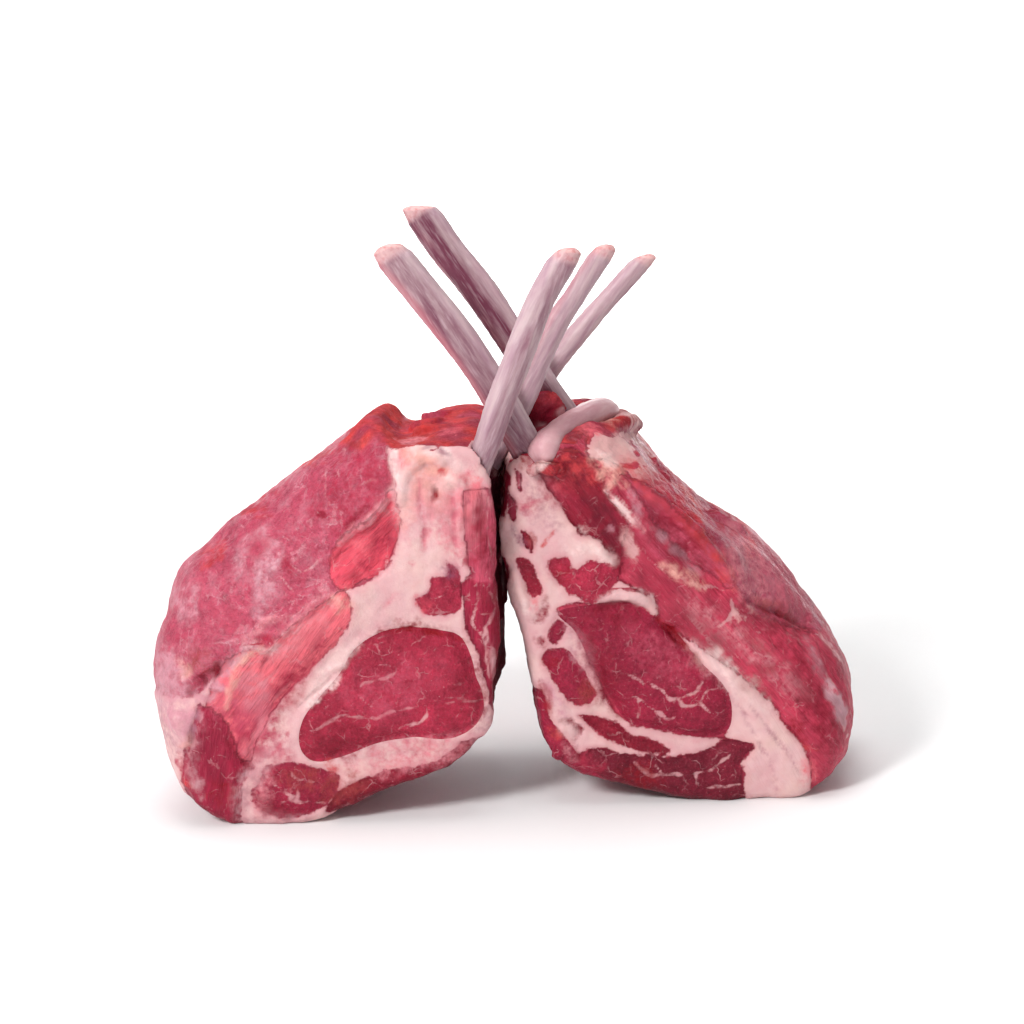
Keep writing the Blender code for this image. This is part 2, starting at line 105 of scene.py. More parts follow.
# Tissues in the order they are painted: kind, tone, fibre angle or None, and outline.
TISSUES = {
    "left": [
        ("fat", "fat", None, [
            (-37.5, 145), (-38.5, 118), (-38, 104.5), (-42, 91.5), (-49, 84), (-56, 82.5), (-65.5, 77.5),
            (-75.5, 70), (-83, 64), (-90, 61), (-98.5, 56), (-104.5, 48), (-110, 45), (-125, 42), (-128, 20),
            (-125, -10), (-60, -12), (12, -12), (12, 145)]),
        ("lean", "coral", 40, [
            (-38, 115), (-41, 113.5), (-44, 110), (-47.5, 106), (-53, 102.5), (-57.5, 98.5), (-61, 93),
            (-60.5, 85.5), (-56, 82.5), (-49, 85), (-42.5, 88.5), (-38.5, 97), (-37, 104.5)]),
        ("lean", "salmon", 52, [
            (-102.5, 48), (-98.5, 56), (-92, 62.5), (-84.5, 63.5), (-80, 66), (-71, 73.5), (-61, 80.5),
            (-56, 82.5), (-54, 77.5), (-55, 70), (-60, 63), (-68, 55), (-76, 47.5), (-82.5, 39), (-87.5, 30),
            (-90.5, 22), (-94.5, 25), (-99, 35.5), (-104.5, 42)]),
        ("lean", "garnet", 80, [
            (-106.5, 43.5), (-97, 35.5), (-94.5, 25), (-89.5, 21.5), (-93, 14), (-94, 7), (-95, -3),
            (-103, -2), (-112, 8), (-114, 18), (-111, 31)]),
        ("lean", "ruby", None, [
            (-22.5, 91), (-19, 88.5), (-17.5, 84), (-17.5, 76.5), (-19.5, 73), (-25, 72), (-30.5, 73.5),
            (-33, 78), (-29, 80), (-27, 85.5), (-21.5, 86)]),
        ("lean", "garnet", None, [
            (-85.5, 21), (-77, 22), (-68.5, 19.5), (-60, 17), (-64.5, 7.5), (-73.5, 3), (-82, 3),
            (-89.5, 6.5), (-90.5, 11), (-88, 15.5)]),
        ("lean", "dark", None, [
            (-60, 12.5), (-50.5, 16.5), (-42.5, 18.5), (-32.5, 20), (-28, 21), (-22.5, 24.5), (-18.5, 28),
            (-10, 27), (-26.5, 12), (-43, 6), (-57.5, 3), (-66, 4)]),
        ("lean", "garnet", 85, [
            (-17, 84), (-13, 87), (-5, 84), (-2, 70), (-1, 50), (-2, 34), (-7.5, 38), (-9.5, 46),
            (-11.5, 53), (-13, 60), (-15.5, 64.5), (-17, 74)]),
        ("lean", "rose", 85, [
            (-16, 113), (-13.5, 115), (-4, 113), (-3, 96.5), (-3, 84), (-10, 83), (-14.5, 86), (-15.5, 96)]),
    ],
    "right": [
        ("lean", "crimson", -50, [
            (32, 145), (32, 125.5), (37.5, 117.5), (44, 113), (52, 105), (59.5, 98), (67, 90), (71, 84.5),
            (75, 77), (80, 66.5), (93.5, 58.5), (102, 54.5), (130, 40), (130, -12), (-20, -12), (-20, 145)]),
        ("lean", "wine", -55, [
            (8, 121.5), (12.5, 122), (18, 125), (24, 123.5), (28, 120), (30.5, 115), (33, 107.5),
            (38.5, 99.5), (36.5, 91.5), (35.5, 85.5), (31.5, 90.5), (22, 96), (17.5, 103), (11, 113.5)]),
        ("lean", "rose", -42, [
            (36.5, 118.5), (44, 113.5), (52, 105.5), (59.5, 98.5), (67, 90.5), (71, 84.5), (75, 77),
            (72.5, 73.5), (69, 78), (65, 80.5), (59, 85), (55.5, 89.5), (48.5, 98), (44, 106.5), (40, 112)]),
        ("fat", "fat", None, [
            (-12, 124), (3, 123), (8, 121.5), (8, 117.5), (11, 113.5), (14, 109), (17.5, 103), (21.5, 99),
            (22, 96), (26, 94.5), (29, 93.5), (31.5, 90.5), (35, 88), (36, 84.5), (35, 80), (38.5, 77.5),
            (44.5, 74), (47.5, 72), (48, 68), (47, 66.5), (43, 70.5), (36.5, 72.5), (29, 72), (20, 72),
            (14, 69.5), (20, 62), (25, 51), (29.5, 40.5), (33, 33), (39, 28), (49.5, 25.5), (60.5, 23),
            (70.5, 22), (64.5, 18.5), (58.5, 17.5), (50, 17), (38.5, 18), (26.5, 20.5), (19, 18),
            (8, 24), (2, 36), (0, 60), (-12, 70)]),
        ("fat", "fat", -62, [
            (54, 60), (60.5, 52.5), (65, 46), (71, 40), (72, 32.5), (71.5, 27.5), (71, 22.5), (79, 21.5),
            (80, 19), (76, 13), (77.5, 9.5), (77.5, -12), (100, -12), (99.5, 7.5), (99, 13.5), (96.5, 19.5),
            (91.5, 27), (86, 34.5), (77, 44), (70, 49.5), (64, 54), (59, 58)]),
        ("fat", "fat_warm", None, [
            (28, 131), (36, 127), (41, 122.5), (45.5, 118), (50, 113), (48, 110.5), (43.5, 113), (38.5, 116),
            (34, 120), (27, 122), (26, 127.5)]),
        ("lean", "ruby", None, [
            (11.5, 86.5), (15, 88), (18.5, 87.5), (19, 85.5), (21, 83.5), (23.5, 85.5), (27, 86.5),
            (35, 84.5), (35, 80), (32.5, 76.5), (29, 73.5), (24, 72.5), (20, 74.5), (16.5, 77.5),
            (13.5, 81)]),
        ("lean", "garnet", None, [
            (10, 55), (16.5, 56.5), (22, 49.5), (25, 43.5), (27, 39), (22.5, 35.5), (17.5, 37), (13, 44.5),
            (9.5, 50.5)]),
        ("lean", "garnet", None, [(11.5, 62), (14, 66.5), (17, 63), (15, 58.5), (11.5, 57.5)]),
        ("lean", "wine", None, [
            (21, 32.5), (31, 30.5), (37.5, 26), (45, 22.5), (52, 19.5), (48.5, 17), (39, 19.5), (29.5, 24)]),
        ("lean", "plum", None, [
            (26.5, 21), (38.5, 18), (55, 16.5), (64.5, 19), (71, 22), (79, 21.5), (80, 19), (76, 13),
            (77, -5), (60, -6), (38.5, 0), (30.5, 8), (22.5, 15)]),
        ("lean", "garnet", None, [
            (8.5, 41.5), (11.5, 31), (19.5, 20), (24, 15), (30, 6), (22, 2), (10, 10), (2, 24), (2, 38)]),
        ("lean", "wine", None, [(1.5, 88.5), (5.5, 87), (8.5, 81), (9.5, 75), (6, 75), (3, 81)]),
        ("lean", "wine", 85, [(-3.5, 117), (-1, 117), (-0.5, 112), (-2, 103), (-4, 104)]),
        ("lean", "garnet", 85, [(1, 119), (3.5, 117), (4, 112), (2.5, 113)]),
        ("lean", "garnet", 85, [(-1, 111), (1.5, 107), (1, 101), (-1.5, 103)]),
        ("lean", "wine", 85, [(3, 98), (6, 95), (6.5, 90), (4, 92)]),
        ("lean", "garnet", 85, [(-6, 88), (-3, 88), (-1.5, 81), (-5, 78)]),
    ],
}

# Fine fat veins through the lean: half width and path.
VEINS = {
    "left": [
        (0.45, [(-73, 31.5), (-63, 36.5), (-57.5, 38.5), (-48, 37.5), (-43.5, 39.5), (-35, 41), (-27, 42)]),
        (0.5, [(-27, 42), (-17.5, 42.5), (-11, 42.5)]),
        (0.35, [(-24.5, 45), (-19.5, 44), (-15.5, 43)]),
        (0.6, [(-30.5, 41), (-30.5, 38), (-35.5, 35.5), (-40, 33.5), (-38, 31)]),
        (0.5, [(-46.5, 56.5), (-41.5, 56.5), (-40, 54), (-43, 52), (-45.5, 51), (-51.5, 49.5), (-53, 46)]),
        (0.35, [(-53, 46), (-50.5, 42.5), (-48, 40.5)]),
        (0.7, [(-82.5, 14.5), (-79, 11.5), (-75, 9.5), (-74.5, 13.5)]),
        (0.55, [(-82, 8), (-74, 8.5), (-65.5, 7.5)]),
        (0.45, [(-77, 21), (-75, 16.5), (-67, 14)]),
        (0.6, [(-13, 86), (-12, 78), (-14, 70), (-10, 62), (-9, 52), (-7, 44)]),
        (0.5, [(-8, 84), (-7, 72), (-10, 66), (-5, 56)]),
    ],
    "right": [
        (0.75, [(44.5, 44.5), (48, 42), (52, 38), (54.5, 38), (56.5, 35.5), (62, 35.5), (65.5, 33.5),
                (66.5, 30)]),
        (0.5, [(54.5, 38.5), (60.5, 40), (63, 43.5)]),
        (0.5, [(56.5, 34.5), (51, 30.5), (48.5, 32.5), (43, 37), (39, 38.5)]),
        (0.35, [(44.5, 42.5), (40.5, 45.5), (36.5, 47.5)]),
        (0.35, [(62, 35.5), (64, 40), (70, 42)]),
        (0.6, [(65.5, 11.5), (69.5, 15), (73, 17.5)]),
        (0.5, [(60, 10.5), (61, 7), (62, 5)]),
        (0.5, [(62, 5), (68.5, 6), (76.5, 5.5)]),
        (0.5, [(38.5, 15.5), (45, 10), (51, 11), (58.5, 10), (65.5, 11.5)]),
        (0.9, [(31, 111), (33, 108.5), (35, 106.5), (40.5, 100.5)]),
        (1.0, [(37, 96), (39.5, 93.5), (40.5, 90), (39, 85.5)]),
        (0.8, [(72.5, 73), (74, 67.5), (71.5, 64), (66.5, 62)]),
        (0.5, [(74, 67.5), (79, 64)]),
        (0.6, [(58, 66), (62.5, 61.5), (65.5, 58), (68.5, 54.5)]),
        (1.9, [(105.5, 42), (108.5, 34), (111.5, 27), (113.5, 19)]),
    ],
}

# Brush strokes over both: tone, cover, half width, softness of the edge, height, and path. They draw lips,
# hollows, slits, films and stains, and lift or sink the surface under them by their height. The darker
# strokes along hollows, slits and grooves and under lips are painted shade, the pale ones along lips, rolls
# and crowns are partly pale tissue and partly painted highlight, and the wide fat_shade ones are painted
# shade on the fat.
STROKES = {
    "left": [
        ("ruby", 0.5, 5.0, 6.0, 0, [(-44, 125), (-50, 116), (-56, 108)]),
        ("blush", 1.0, 4.0, 4.0, 0, [(-27, 124), (-25.5, 118), (-24, 110), (-23, 102)]),
        ("blush", 0.95, 3.0, 3.5, 0, [(-14.5, 120), (-14, 112), (-15, 104), (-17, 95)]),
        ("lump", 0.5, 4.0, 5.0, 0, [(-33, 122), (-32, 112), (-33, 101)]),
        ("rose", 0.35, 3.0, 4.0, 0, [(-28, 122), (-25, 115), (-22, 106)]),
        ("rose", 0.75, 1.8, 2.6, 0, [(-87, 32), (-84, 28), (-78, 24)]),
        ("blush", 0.6, 1.8, 2.0, 0, [(-90.5, 26), (-87, 18), (-88, 8), (-87, 1)]),
        ("rose", 0.35, 2.6, 4.0, 0, [(-44, 21), (-34, 24), (-24, 27)]),
        ("peach", 0.6, 3.5, 4.0, 0, [(-31.5, 122.5), (-26.5, 118), (-24, 112)]),
        ("blush", 0.5, 1.6, 3.0, 0, [(-17, 112), (-18.5, 101.5), (-18.5, 91)]),
        ("blush", 0.35, 1.0, 2.4, -0.3, [(-33, 112), (-34, 104), (-36, 97)]),
        ("fat_shade", 0.7, 1.4, 2.4, 0, [(-92.5, 0), (-94, 9), (-89, 19), (-80, 30)]),
        ("blush", 0.5, 2.6, 3.0, 0, [(-60, 20), (-43, 22.5), (-26.5, 25), (-13, 28)]),
        ("fat_shade", 0.6, 1.4, 2.4, 0, [(-13.5, 29), (-8, 35), (-7, 42)]),
        ("fat_shade", 0.7, 1.6, 2.0, 0, [(-92, 1), (-84, 1), (-72, 1)]),
        ("fat_shade", 0.7, 3.5, 5.0, 0, [(-119, 43), (-117, 35), (-114.5, 25)]),
        ("wine", 0.55, 3.0, 4.0, 0, [(-19, 60), (-16, 50), (-15.5, 42), (-22, 36)]),
        ("wine", 0.5, 1.6, 3.0, 0, [(-46, 65), (-36, 66.5), (-24, 65)]),
        ("wine", 0.55, 3.5, 4.0, 0, [(-68, 27), (-58, 31), (-48, 33)]),
        ("rose", 0.5, 3.0, 5.0, 0, [(-56, 50), (-46, 45), (-36, 50), (-28, 54)]),
        ("wine", 0.6, 2.6, 2.4, 0, [(-11, 111), (-10.5, 98), (-9, 88)]),
        ("ruby", 0.55, 2.2, 3.5, 0, [(-66, 61), (-76, 51), (-85, 38), (-91, 29)]),
        ("rose", 0.95, 4.5, 5.0, 0, [(-99, 42), (-94, 45), (-90, 39), (-91, 30)]),
        ("ruby", 0.6, 2.6, 3.5, 0, [(-95, 38), (-92.5, 31), (-91.5, 25)]),
        ("blush", 0.6, 2.4, 3.0, 0, [(-62, 79), (-68, 72), (-75, 65.5), (-84, 60)]),
        ("lilac", 0.6, 4.5, 5.0, 0, [(-114, 53), (-115, 45), (-112, 36)]),
        ("blush", 0.5, 2.2, 3.0, 0.3, [(-90, 58), (-88, 48), (-86, 40)]),
        ("cream", 0.75, 1.0, 1.6, 1.3, [(-34, 125.5), (-31, 129.5), (-27, 130), (-23.5, 128),
            (-19.5, 125.5), (-16.5, 122.5)]),
        ("peach", 0.8, 1.6, 2.0, -0.8, [(-31, 121.5), (-28, 123.5), (-24.5, 123), (-22.5, 121.5)]),
        ("cream", 0.5, 1.0, 1.5, 1.1, [(-35.5, 121.5), (-36.5, 116.5), (-37, 111.5), (-37, 106.5)]),
        ("peach", 0.45, 1.6, 1.6, 0.5, [(-36, 113), (-34.5, 108), (-35.5, 103.5)]),
        ("flame", 0.9, 0.5, 0.6, -1.0, [(-23, 121.5), (-22.5, 121)]),
        ("blood_and_shade", 0.95, 0.45, 0.5, -1.6, [(-25.5, 116.5), (-25, 114), (-26, 111.5)]),
        ("rose", 0.7, 0.3, 0.7, -1.0, [(-30.5, 119), (-30, 110), (-29, 101), (-29.5, 94)]),
        ("rose", 0.6, 0.3, 0.6, -0.8, [(-19.5, 116), (-19, 108), (-19.5, 100), (-18.5, 92)]),
        ("blush", 0.6, 0.25, 0.7, -0.7, [(-26.5, 111.5), (-26.5, 107), (-27.5, 103), (-28.5, 99.5),
            (-30, 95.5)]),
        ("cream", 0.5, 1.6, 1.6, 1.0, [(-24.5, 116.5), (-21, 117.5), (-18, 116)]),
        ("coral", 0.55, 1.2, 1.4, 0, [(-32.5, 128), (-34, 128), (-36, 124.5)]),
        ("peach", 0.6, 1.0, 1.0, 0.4, [(-37, 127.5), (-34, 127.5), (-29, 129)]),
        ("cream", 0.7, 0.7, 0.7, 0.6, [(-40, 127.5), (-38.5, 129.5), (-39, 124), (-37.5, 119.5),
            (-36.5, 116.5)]),
        ("cream", 0.8, 0.35, 0.5, 0.5, [(-39, 127), (-35, 125.5), (-31, 128.5), (-27.5, 129.5),
            (-23.5, 129.5), (-21, 128)]),
        ("purple", 0.6, 0.3, 0.5, -0.6, [(-29, 129), (-25, 130), (-22.5, 128), (-19.5, 126.5)]),
        ("salmon", 0.55, 1.6, 1.4, 0, [(-14, 119), (-12, 118), (-14, 114.5), (-15, 110.5), (-15.5, 107.5)]),
        ("ruby", 0.65, 1.6, 0.9, -0.4, [(-15.5, 103.5), (-14.5, 100.5), (-14.5, 97.5)]),
        ("ruby", 0.6, 1.4, 0.8, -0.3, [(-15, 92.5), (-14, 89)]),
        ("wine", 0.8, 0.9, 0.8, -0.5, [(-10.5, 112.5), (-10.5, 106.5), (-10, 100.5), (-9.5, 93.5)]),
        ("cream", 0.7, 0.4, 0.5, 0.3, [(-17, 106), (-14, 106), (-11.5, 105), (-11.5, 100.5), (-11, 96.5)]),
        ("cream", 0.7, 0.5, 0.6, 0.3, [(-18, 96), (-14, 95), (-11, 96)]),
        ("lilac", 0.8, 0.5, 0.6, 0, [(-8, 119), (-7, 115), (-8, 109), (-8.5, 100.5), (-6.5, 88.5)]),
        ("wine", 0.7, 1.6, 1.2, -0.4, [(-11.5, 81), (-9, 77), (-10, 73)]),
        ("wine", 0.75, 1.4, 1.0, 0, [(-6, 79), (-5, 68), (-5, 54), (-6, 53)]),
        ("cream", 0.6, 0.4, 0.6, 0.3, [(-13.5, 82), (-11, 82.5), (-9, 81), (-6, 76)]),
        ("cream", 0.6, 0.4, 0.6, 0.3, [(-14.5, 76.5), (-11.5, 72.5), (-8, 73)]),
        ("purple", 0.5, 1.2, 1.2, 0, [(-23.5, 89), (-20.5, 87.5), (-21, 84.5)]),
        ("coral", 0.45, 1.4, 1.4, 0, [(-32, 78.5), (-29.5, 76), (-27, 74.5)]),
        ("cream", 0.6, 0.25, 0.4, 0.2, [(-29, 80.5), (-27.5, 78), (-25, 79), (-23.5, 80)]),
        ("blush", 0.8, 0.35, 0.5, -0.3, [(-34, 90.5), (-33.5, 90)]),
        ("blush", 0.7, 0.2, 0.5, -0.5, [(-39, 80.5), (-41, 78.5), (-43.5, 76)]),
        ("blood_and_shade", 0.8, 0.35, 0.6, -1.1, [(-45, 67), (-40.5, 68), (-35.5, 68), (-30.5, 67), (-25.5, 66),
            (-20, 64.5), (-16, 63)]),
        ("wine", 0.7, 0.8, 0.8, 0, [(-9.5, 61), (-7.5, 56.5), (-7, 46.5)]),
        ("fat_deep", 0.7, 0.35, 0.5, 0.2, [(-11, 65.5), (-8, 59.5), (-7.5, 49.5)]),
        ("cream", 0.6, 0.7, 0.9, 0.5, [(-59.5, 52), (-61.5, 49), (-66, 46), (-69.5, 42.5), (-72, 40.5)]),
        ("dark", 0.8, 0.25, 0.45, -0.9, [(-52, 63.5), (-56.5, 55), (-60, 54), (-65, 49), (-69.5, 45),
            (-73.5, 42)]),
        ("cream", 0.5, 1.5, 1.6, 0.8, [(-53, 63), (-58.5, 58), (-65, 52), (-71.5, 46), (-76, 42.5)]),
        ("rose", 0.7, 0.2, 0.5, -0.6, [(-77, 33), (-78.5, 30), (-82, 26), (-84.5, 23.5)]),
        ("fat", 0.8, 0.7, 1.0, 0.8, [(-90, 64.5), (-87.5, 65), (-84.5, 63.5), (-82.5, 62.5),
            (-79.5, 64.5)]),
        ("peach", 0.75, 0.7, 0.9, 1.0, [(-84, 64.5), (-87.5, 61.5), (-91.5, 59.5), (-93.5, 55), (-96, 47),
            (-97.5, 42)]),
        ("wine", 0.7, 0.3, 0.5, -0.6, [(-81.5, 62.5), (-83.5, 59), (-86, 55)]),
        ("salmon", 0.6, 1.2, 1.6, 0.3, [(-75, 61), (-79.5, 56.5), (-84, 53)]),
        ("blush", 0.55, 0.25, 0.4, 0, [(-79.5, 55.5), (-83.5, 51.5), (-87.5, 49), (-90.5, 47)]),
        ("blush", 0.6, 0.25, 0.4, 0, [(-75.5, 50.5), (-79, 47), (-82.5, 43)]),
        ("ruby", 0.55, 2.0, 2.4, -0.4, [(-70.5, 54.5), (-75, 48.5), (-80, 43)]),
        ("blush", 0.5, 0.5, 0.8, 0, [(-83.5, 39), (-87, 33.5), (-89.5, 28.5)]),
        ("rose", 0.5, 1.4, 1.6, 0, [(-90, 39.5), (-93, 34.5)]),
        ("lilac", 0.85, 1.9, 1.2, 1.2, [(-91, 62.5), (-96, 58), (-100, 53), (-102.5, 47), (-106.5, 45)]),
        ("dark", 0.85, 1.1, 1.1, -2.4, [(-109.5, 46.5), (-107.5, 49.5), (-102, 53.5), (-98, 57.5),
            (-94, 61.5)]),
        ("lilac", 0.65, 2.8, 3.0, 0, [(-118, 58.5), (-116.5, 53), (-118.5, 46.5)]),
        ("rust", 0.5, 3.0, 3.0, 0, [(-107.5, 60), (-104.5, 57)]),
        ("peach", 0.5, 1.0, 1.2, 0.5, [(-114, 56.5), (-111, 54), (-112.5, 52)]),
        ("lilac", 0.8, 3.6, 1.5, 0.8, [(-116.5, 41), (-113.5, 36.5), (-112, 31)]),
        ("peach", 0.5, 0.9, 0.9, 0.3, [(-114, 28.5), (-111, 29.5), (-109.5, 33)]),
        ("purple", 0.6, 0.3, 0.6, -1.0, [(-107.5, 40.5), (-108.5, 35), (-109.5, 28)]),
        ("lilac", 0.7, 0.5, 0.7, 0.7, [(-106, 40.5), (-107.5, 35), (-109.5, 28), (-111, 23.5)]),
        ("ruby", 0.7, 1.6, 0.8, 0, [(-114, 25), (-113, 20.5), (-112.5, 16.5)]),
        ("flame", 0.55, 0.7, 0.8, 0, [(-112, 15.5), (-111.5, 15)]),
        ("fat_shade", 0.7, 1.0, 1.1, 0.6, [(-110.5, 23.5), (-110, 18), (-108.5, 15.5), (-108, 11)]),
        ("blood_and_shade", 0.45, 2.4, 2.4, 0.4, [(-101, 15), (-99.5, 9.5)]),
        ("dark", 0.8, 0.35, 0.6, -1.5, [(-97.5, 31.5), (-97, 28.5), (-94, 24), (-90, 20)]),
        ("blush", 0.4, 1.0, 1.2, 0, [(-92, 30), (-90.5, 25)]),
        ("dark", 0.6, 2.0, 1.8, -0.3, [(-67, 28), (-63.5, 29.5), (-59.5, 29.5)]),
        ("flame", 0.55, 0.9, 1.0, 0.3, [(-64, 21.5), (-62.5, 20)]),
        ("dark", 0.55, 1.4, 1.8, 0, [(-87.5, 9.5), (-83, 5), (-76.5, 5.5)]),
        ("rust", 0.5, 2.0, 2.0, 0, [(-80, 17.5), (-73, 16), (-66.5, 15)]),
        ("rust", 0.5, 2.6, 2.4, 0, [(-65.5, 9), (-58.5, 12.5), (-52, 15)]),
        ("cream", 0.65, 0.3, 0.4, 0.2, [(-53, 115), (-50, 116.5), (-46.5, 118), (-44, 117.5)]),
        ("cream", 0.5, 0.25, 0.4, 0.2, [(-62, 118.5), (-62, 113.5), (-61, 109)]),
        ("cream", 0.45, 0.25, 0.5, 0.2, [(-56.5, 121), (-57, 116)]),
        ("cream", 0.4, 0.25, 0.5, 0.2, [(-54.5, 126.5), (-56, 122.5)]),
        ("ruby", 0.55, 3.6, 4.0, -0.4, [(-45, 122.5), (-47, 119.5)]),
        ("ruby", 0.6, 3.6, 3.6, -0.8, [(-52.5, 106.5), (-55.5, 104.5)]),
        ("wine", 0.8, 0.5, 0.7, -0.8, [(-63.5, 106), (-62.5, 105.5)]),
        ("ruby", 0.4, 3.0, 4.0, 0, [(-64, 112), (-61, 108.5)]),
        ("lilac", 0.75, 1.6, 2.0, 0.4, [(-83.5, 98.5), (-80.5, 93.5), (-83, 88), (-83.5, 79.5),
            (-85.5, 74)]),
        ("lilac", 0.5, 0.7, 1.2, 0.2, [(-83.5, 98.5), (-88, 96), (-91.5, 91), (-93, 84)]),
        ("lilac", 0.5, 0.6, 1.0, 0.2, [(-87.5, 92), (-83.5, 89)]),
        ("ruby", 0.45, 1.4, 1.8, -0.5, [(-86, 94), (-84.5, 95.5)]),
        ("ruby", 0.7, 0.6, 0.9, -1.2, [(-76.5, 92), (-75, 89), (-70.5, 85)]),
        ("cream", 0.75, 0.4, 0.6, 0.6, [(-75.5, 91), (-72, 89), (-69.5, 87.5), (-64.5, 92), (-61, 95)]),
        ("cream", 0.5, 0.25, 0.5, 0.2, [(-77.5, 86.5), (-75, 84), (-73, 81)]),
        ("flame", 0.75, 0.8, 1.0, 0.8, [(-97.5, 93), (-100.5, 90), (-105, 86.5)]),
        ("wine", 0.6, 0.5, 0.9, -0.8, [(-99, 91), (-102, 88)]),
        ("lilac", 0.6, 2.2, 2.2, 0, [(-112.5, 75), (-111, 73.5)]),
        ("lilac", 0.45, 1.0, 1.4, 0.2, [(-106, 80.5), (-108.5, 77.5)]),
        ("rose", 0.5, 2.4, 3.0, 0, [(-99.5, 71.5), (-96.5, 74.5)]),
        ("lilac", 0.7, 3.0, 2.8, 0, [(-118.5, 55), (-118, 51.5)]),
        ("wine", 0.75, 0.7, 1.3, -1.6, [(-44, 110), (-52, 103.5), (-56.5, 99.5)]),
        ("blush", 0.8, 0.7, 0.9, 1.4, [(-38.5, 114), (-43, 110.5), (-47, 106), (-52.5, 102),
            (-57.5, 97.5)]),
        ("blush", 0.6, 0.8, 1.0, 0.6, [(-38.5, 112.5), (-38, 108)]),
        ("ruby", 0.6, 1.6, 2.0, -0.3, [(-40.5, 104.5), (-41.5, 99), (-45, 93)]),
        ("salmon", 0.6, 1.6, 2.0, 0.5, [(-49.5, 99), (-51.5, 93.5)]),
        ("ruby", 0.5, 0.8, 1.2, -0.3, [(-50.5, 91.5), (-47.5, 88.5)]),
        ("blush", 0.7, 0.7, 1.0, 0.7, [(-90, 66.5), (-86.5, 68.5), (-81, 72.5), (-75, 73), (-70.5, 74)]),
        ("blush", 0.8, 0.5, 0.7, 1.0, [(-82, 64), (-77, 66.5), (-71, 70.5), (-65, 75.5), (-59, 82.5),
            (-56, 83.5)]),
        ("ruby", 0.8, 0.9, 0.8, -1.2, [(-87, 66.5), (-83, 65.5), (-79.5, 67)]),
        ("ruby", 0.6, 0.4, 0.7, -0.9, [(-72.5, 72), (-67.5, 75.5), (-62.5, 79.5)]),
        ("peach", 0.4, 1.6, 2.2, 0, [(-56.5, 81), (-58.5, 76)]),
        ("ruby", 0.45, 1.6, 2.2, 0, [(-65, 69), (-68.5, 63.5)]),
        ("salmon", 0.5, 1.4, 1.8, 0, [(-64, 74), (-69.5, 66.5), (-73.5, 62)]),
        ("cream", 0.8, 0.4, 0.4, 0.4, [(-72.5, 62), (-72, 61)]),
    ],
    "right": [
        ("garnet", 0.55, 4.5, 5.0, 0, [(45, 116), (54, 109), (62, 101), (72, 90)]),
        ("blush", 0.45, 5.0, 6.0, 0, [(78, 86), (89, 75), (98, 62)]),
        ("fat_shade", 0.5, 3.5, 3.5, 0, [(6, 117), (9, 108), (13, 100)]),
        ("blush", 0.45, 1.6, 2.4, 0, [(56, 58), (63, 52), (70, 45)]),
        ("wine", 0.55, 3.0, 4.0, 0, [(23, 60), (29, 47), (35, 36)]),
        ("wine", 0.5, 2.0, 3.0, 0, [(24, 69), (33, 70), (42, 69)]),
        ("rose", 0.45, 2.6, 4.0, 0, [(40, 62), (48, 53), (56, 45)]),
        ("wine", 0.5, 2.4, 3.0, 0, [(84, 62), (94, 54), (104, 44)]),
        ("wine", 0.5, 2.6, 4.0, 0, [(96, 44), (104, 32), (106, 20)]),
        ("blush", 0.4, 1.6, 3.0, 0.3, [(58, 72), (68, 62), (80, 52)]),
        ("blush", 0.4, 1.2, 2.6, 0.3, [(76, 58), (88, 46), (98, 36)]),
        ("wine", 0.5, 1.4, 2.4, -0.3, [(56, 68), (66, 57), (76, 48)]),
        ("flame", 0.6, 1.7, 2.0, 0.8, [(17.5, 122), (22.5, 120), (27.5, 117.5), (30.5, 112.5)]),
        ("flame", 0.55, 0.8, 0.9, 1.0, [(7.5, 123.5), (10, 120.5), (13, 119), (15.5, 121.5), (18.5, 123.5)]),
        ("ruby", 0.6, 2.2, 2.6, -0.3, [(11.5, 114.5), (16, 111), (20.5, 105.5)]),
        ("flame", 0.3, 2.0, 3.0, 0, [(13, 117), (19.5, 115), (24, 112.5)]),
        ("plum", 0.85, 2.1, 2.4, -1.8, [(26, 107.5), (30.5, 102.5), (34, 96), (36, 89.5), (36.5, 85)]),
        ("plum", 0.5, 1.4, 2.0, -0.8, [(23.5, 100.5), (28, 96)]),
        ("peach", 0.85, 2.4, 1.2, 1.4, [(27.5, 121), (32.5, 117.5), (37, 113)]),
        ("cream", 0.7, 0.5, 0.8, 0.8, [(25, 122.5), (28.5, 117.5), (31, 114), (32, 110.5)]),
        ("cream", 0.7, 0.7, 0.9, 1.0, [(31.5, 111), (35, 106.5), (39, 102), (43.5, 97)]),
        ("ruby", 0.6, 0.5, 0.7, -1.0, [(29, 112), (32.5, 106.5), (36.5, 101), (39.5, 97)]),
        ("fat_warm", 0.7, 1.2, 1.2, 0.5, [(37.5, 97.5), (38.5, 92.5), (40.5, 86.5)]),
        ("wine", 0.7, 0.9, 1.0, -1.2, [(34.5, 91.5), (35.5, 85.5), (36, 81.5)]),
        ("flame", 0.85, 1.3, 1.7, 1.6, [(37, 118), (41, 116.5), (43.5, 113.5), (48.5, 108.5), (54.5, 103),
            (59.5, 98.5), (63.5, 92.5), (68.5, 86)]),
        ("flame", 0.5, 1.3, 1.8, 0.6, [(68.5, 86), (72, 79.5), (73.5, 74.5)]),
        ("cream", 0.75, 0.3, 0.45, 0.5, [(54, 103.5), (60.5, 98), (65.5, 92.5), (70.5, 86), (73.5, 79.5),
            (77, 74)]),
        ("wine", 0.75, 2.8, 2.6, -1.8, [(45, 105), (51.5, 97), (59, 88.5), (65, 81.5)]),
        ("plum", 0.6, 0.8, 1.2, -1.0, [(49, 97), (55, 89.5), (60, 82.5)]),
        ("lilac", 0.7, 0.8, 1.0, 0.4, [(39, 110.5), (42, 105), (43, 102.5)]),
        ("lilac", 0.6, 0.7, 0.9, 0.4, [(45.5, 99), (50, 94), (55, 88), (60, 82.5), (63.5, 79)]),
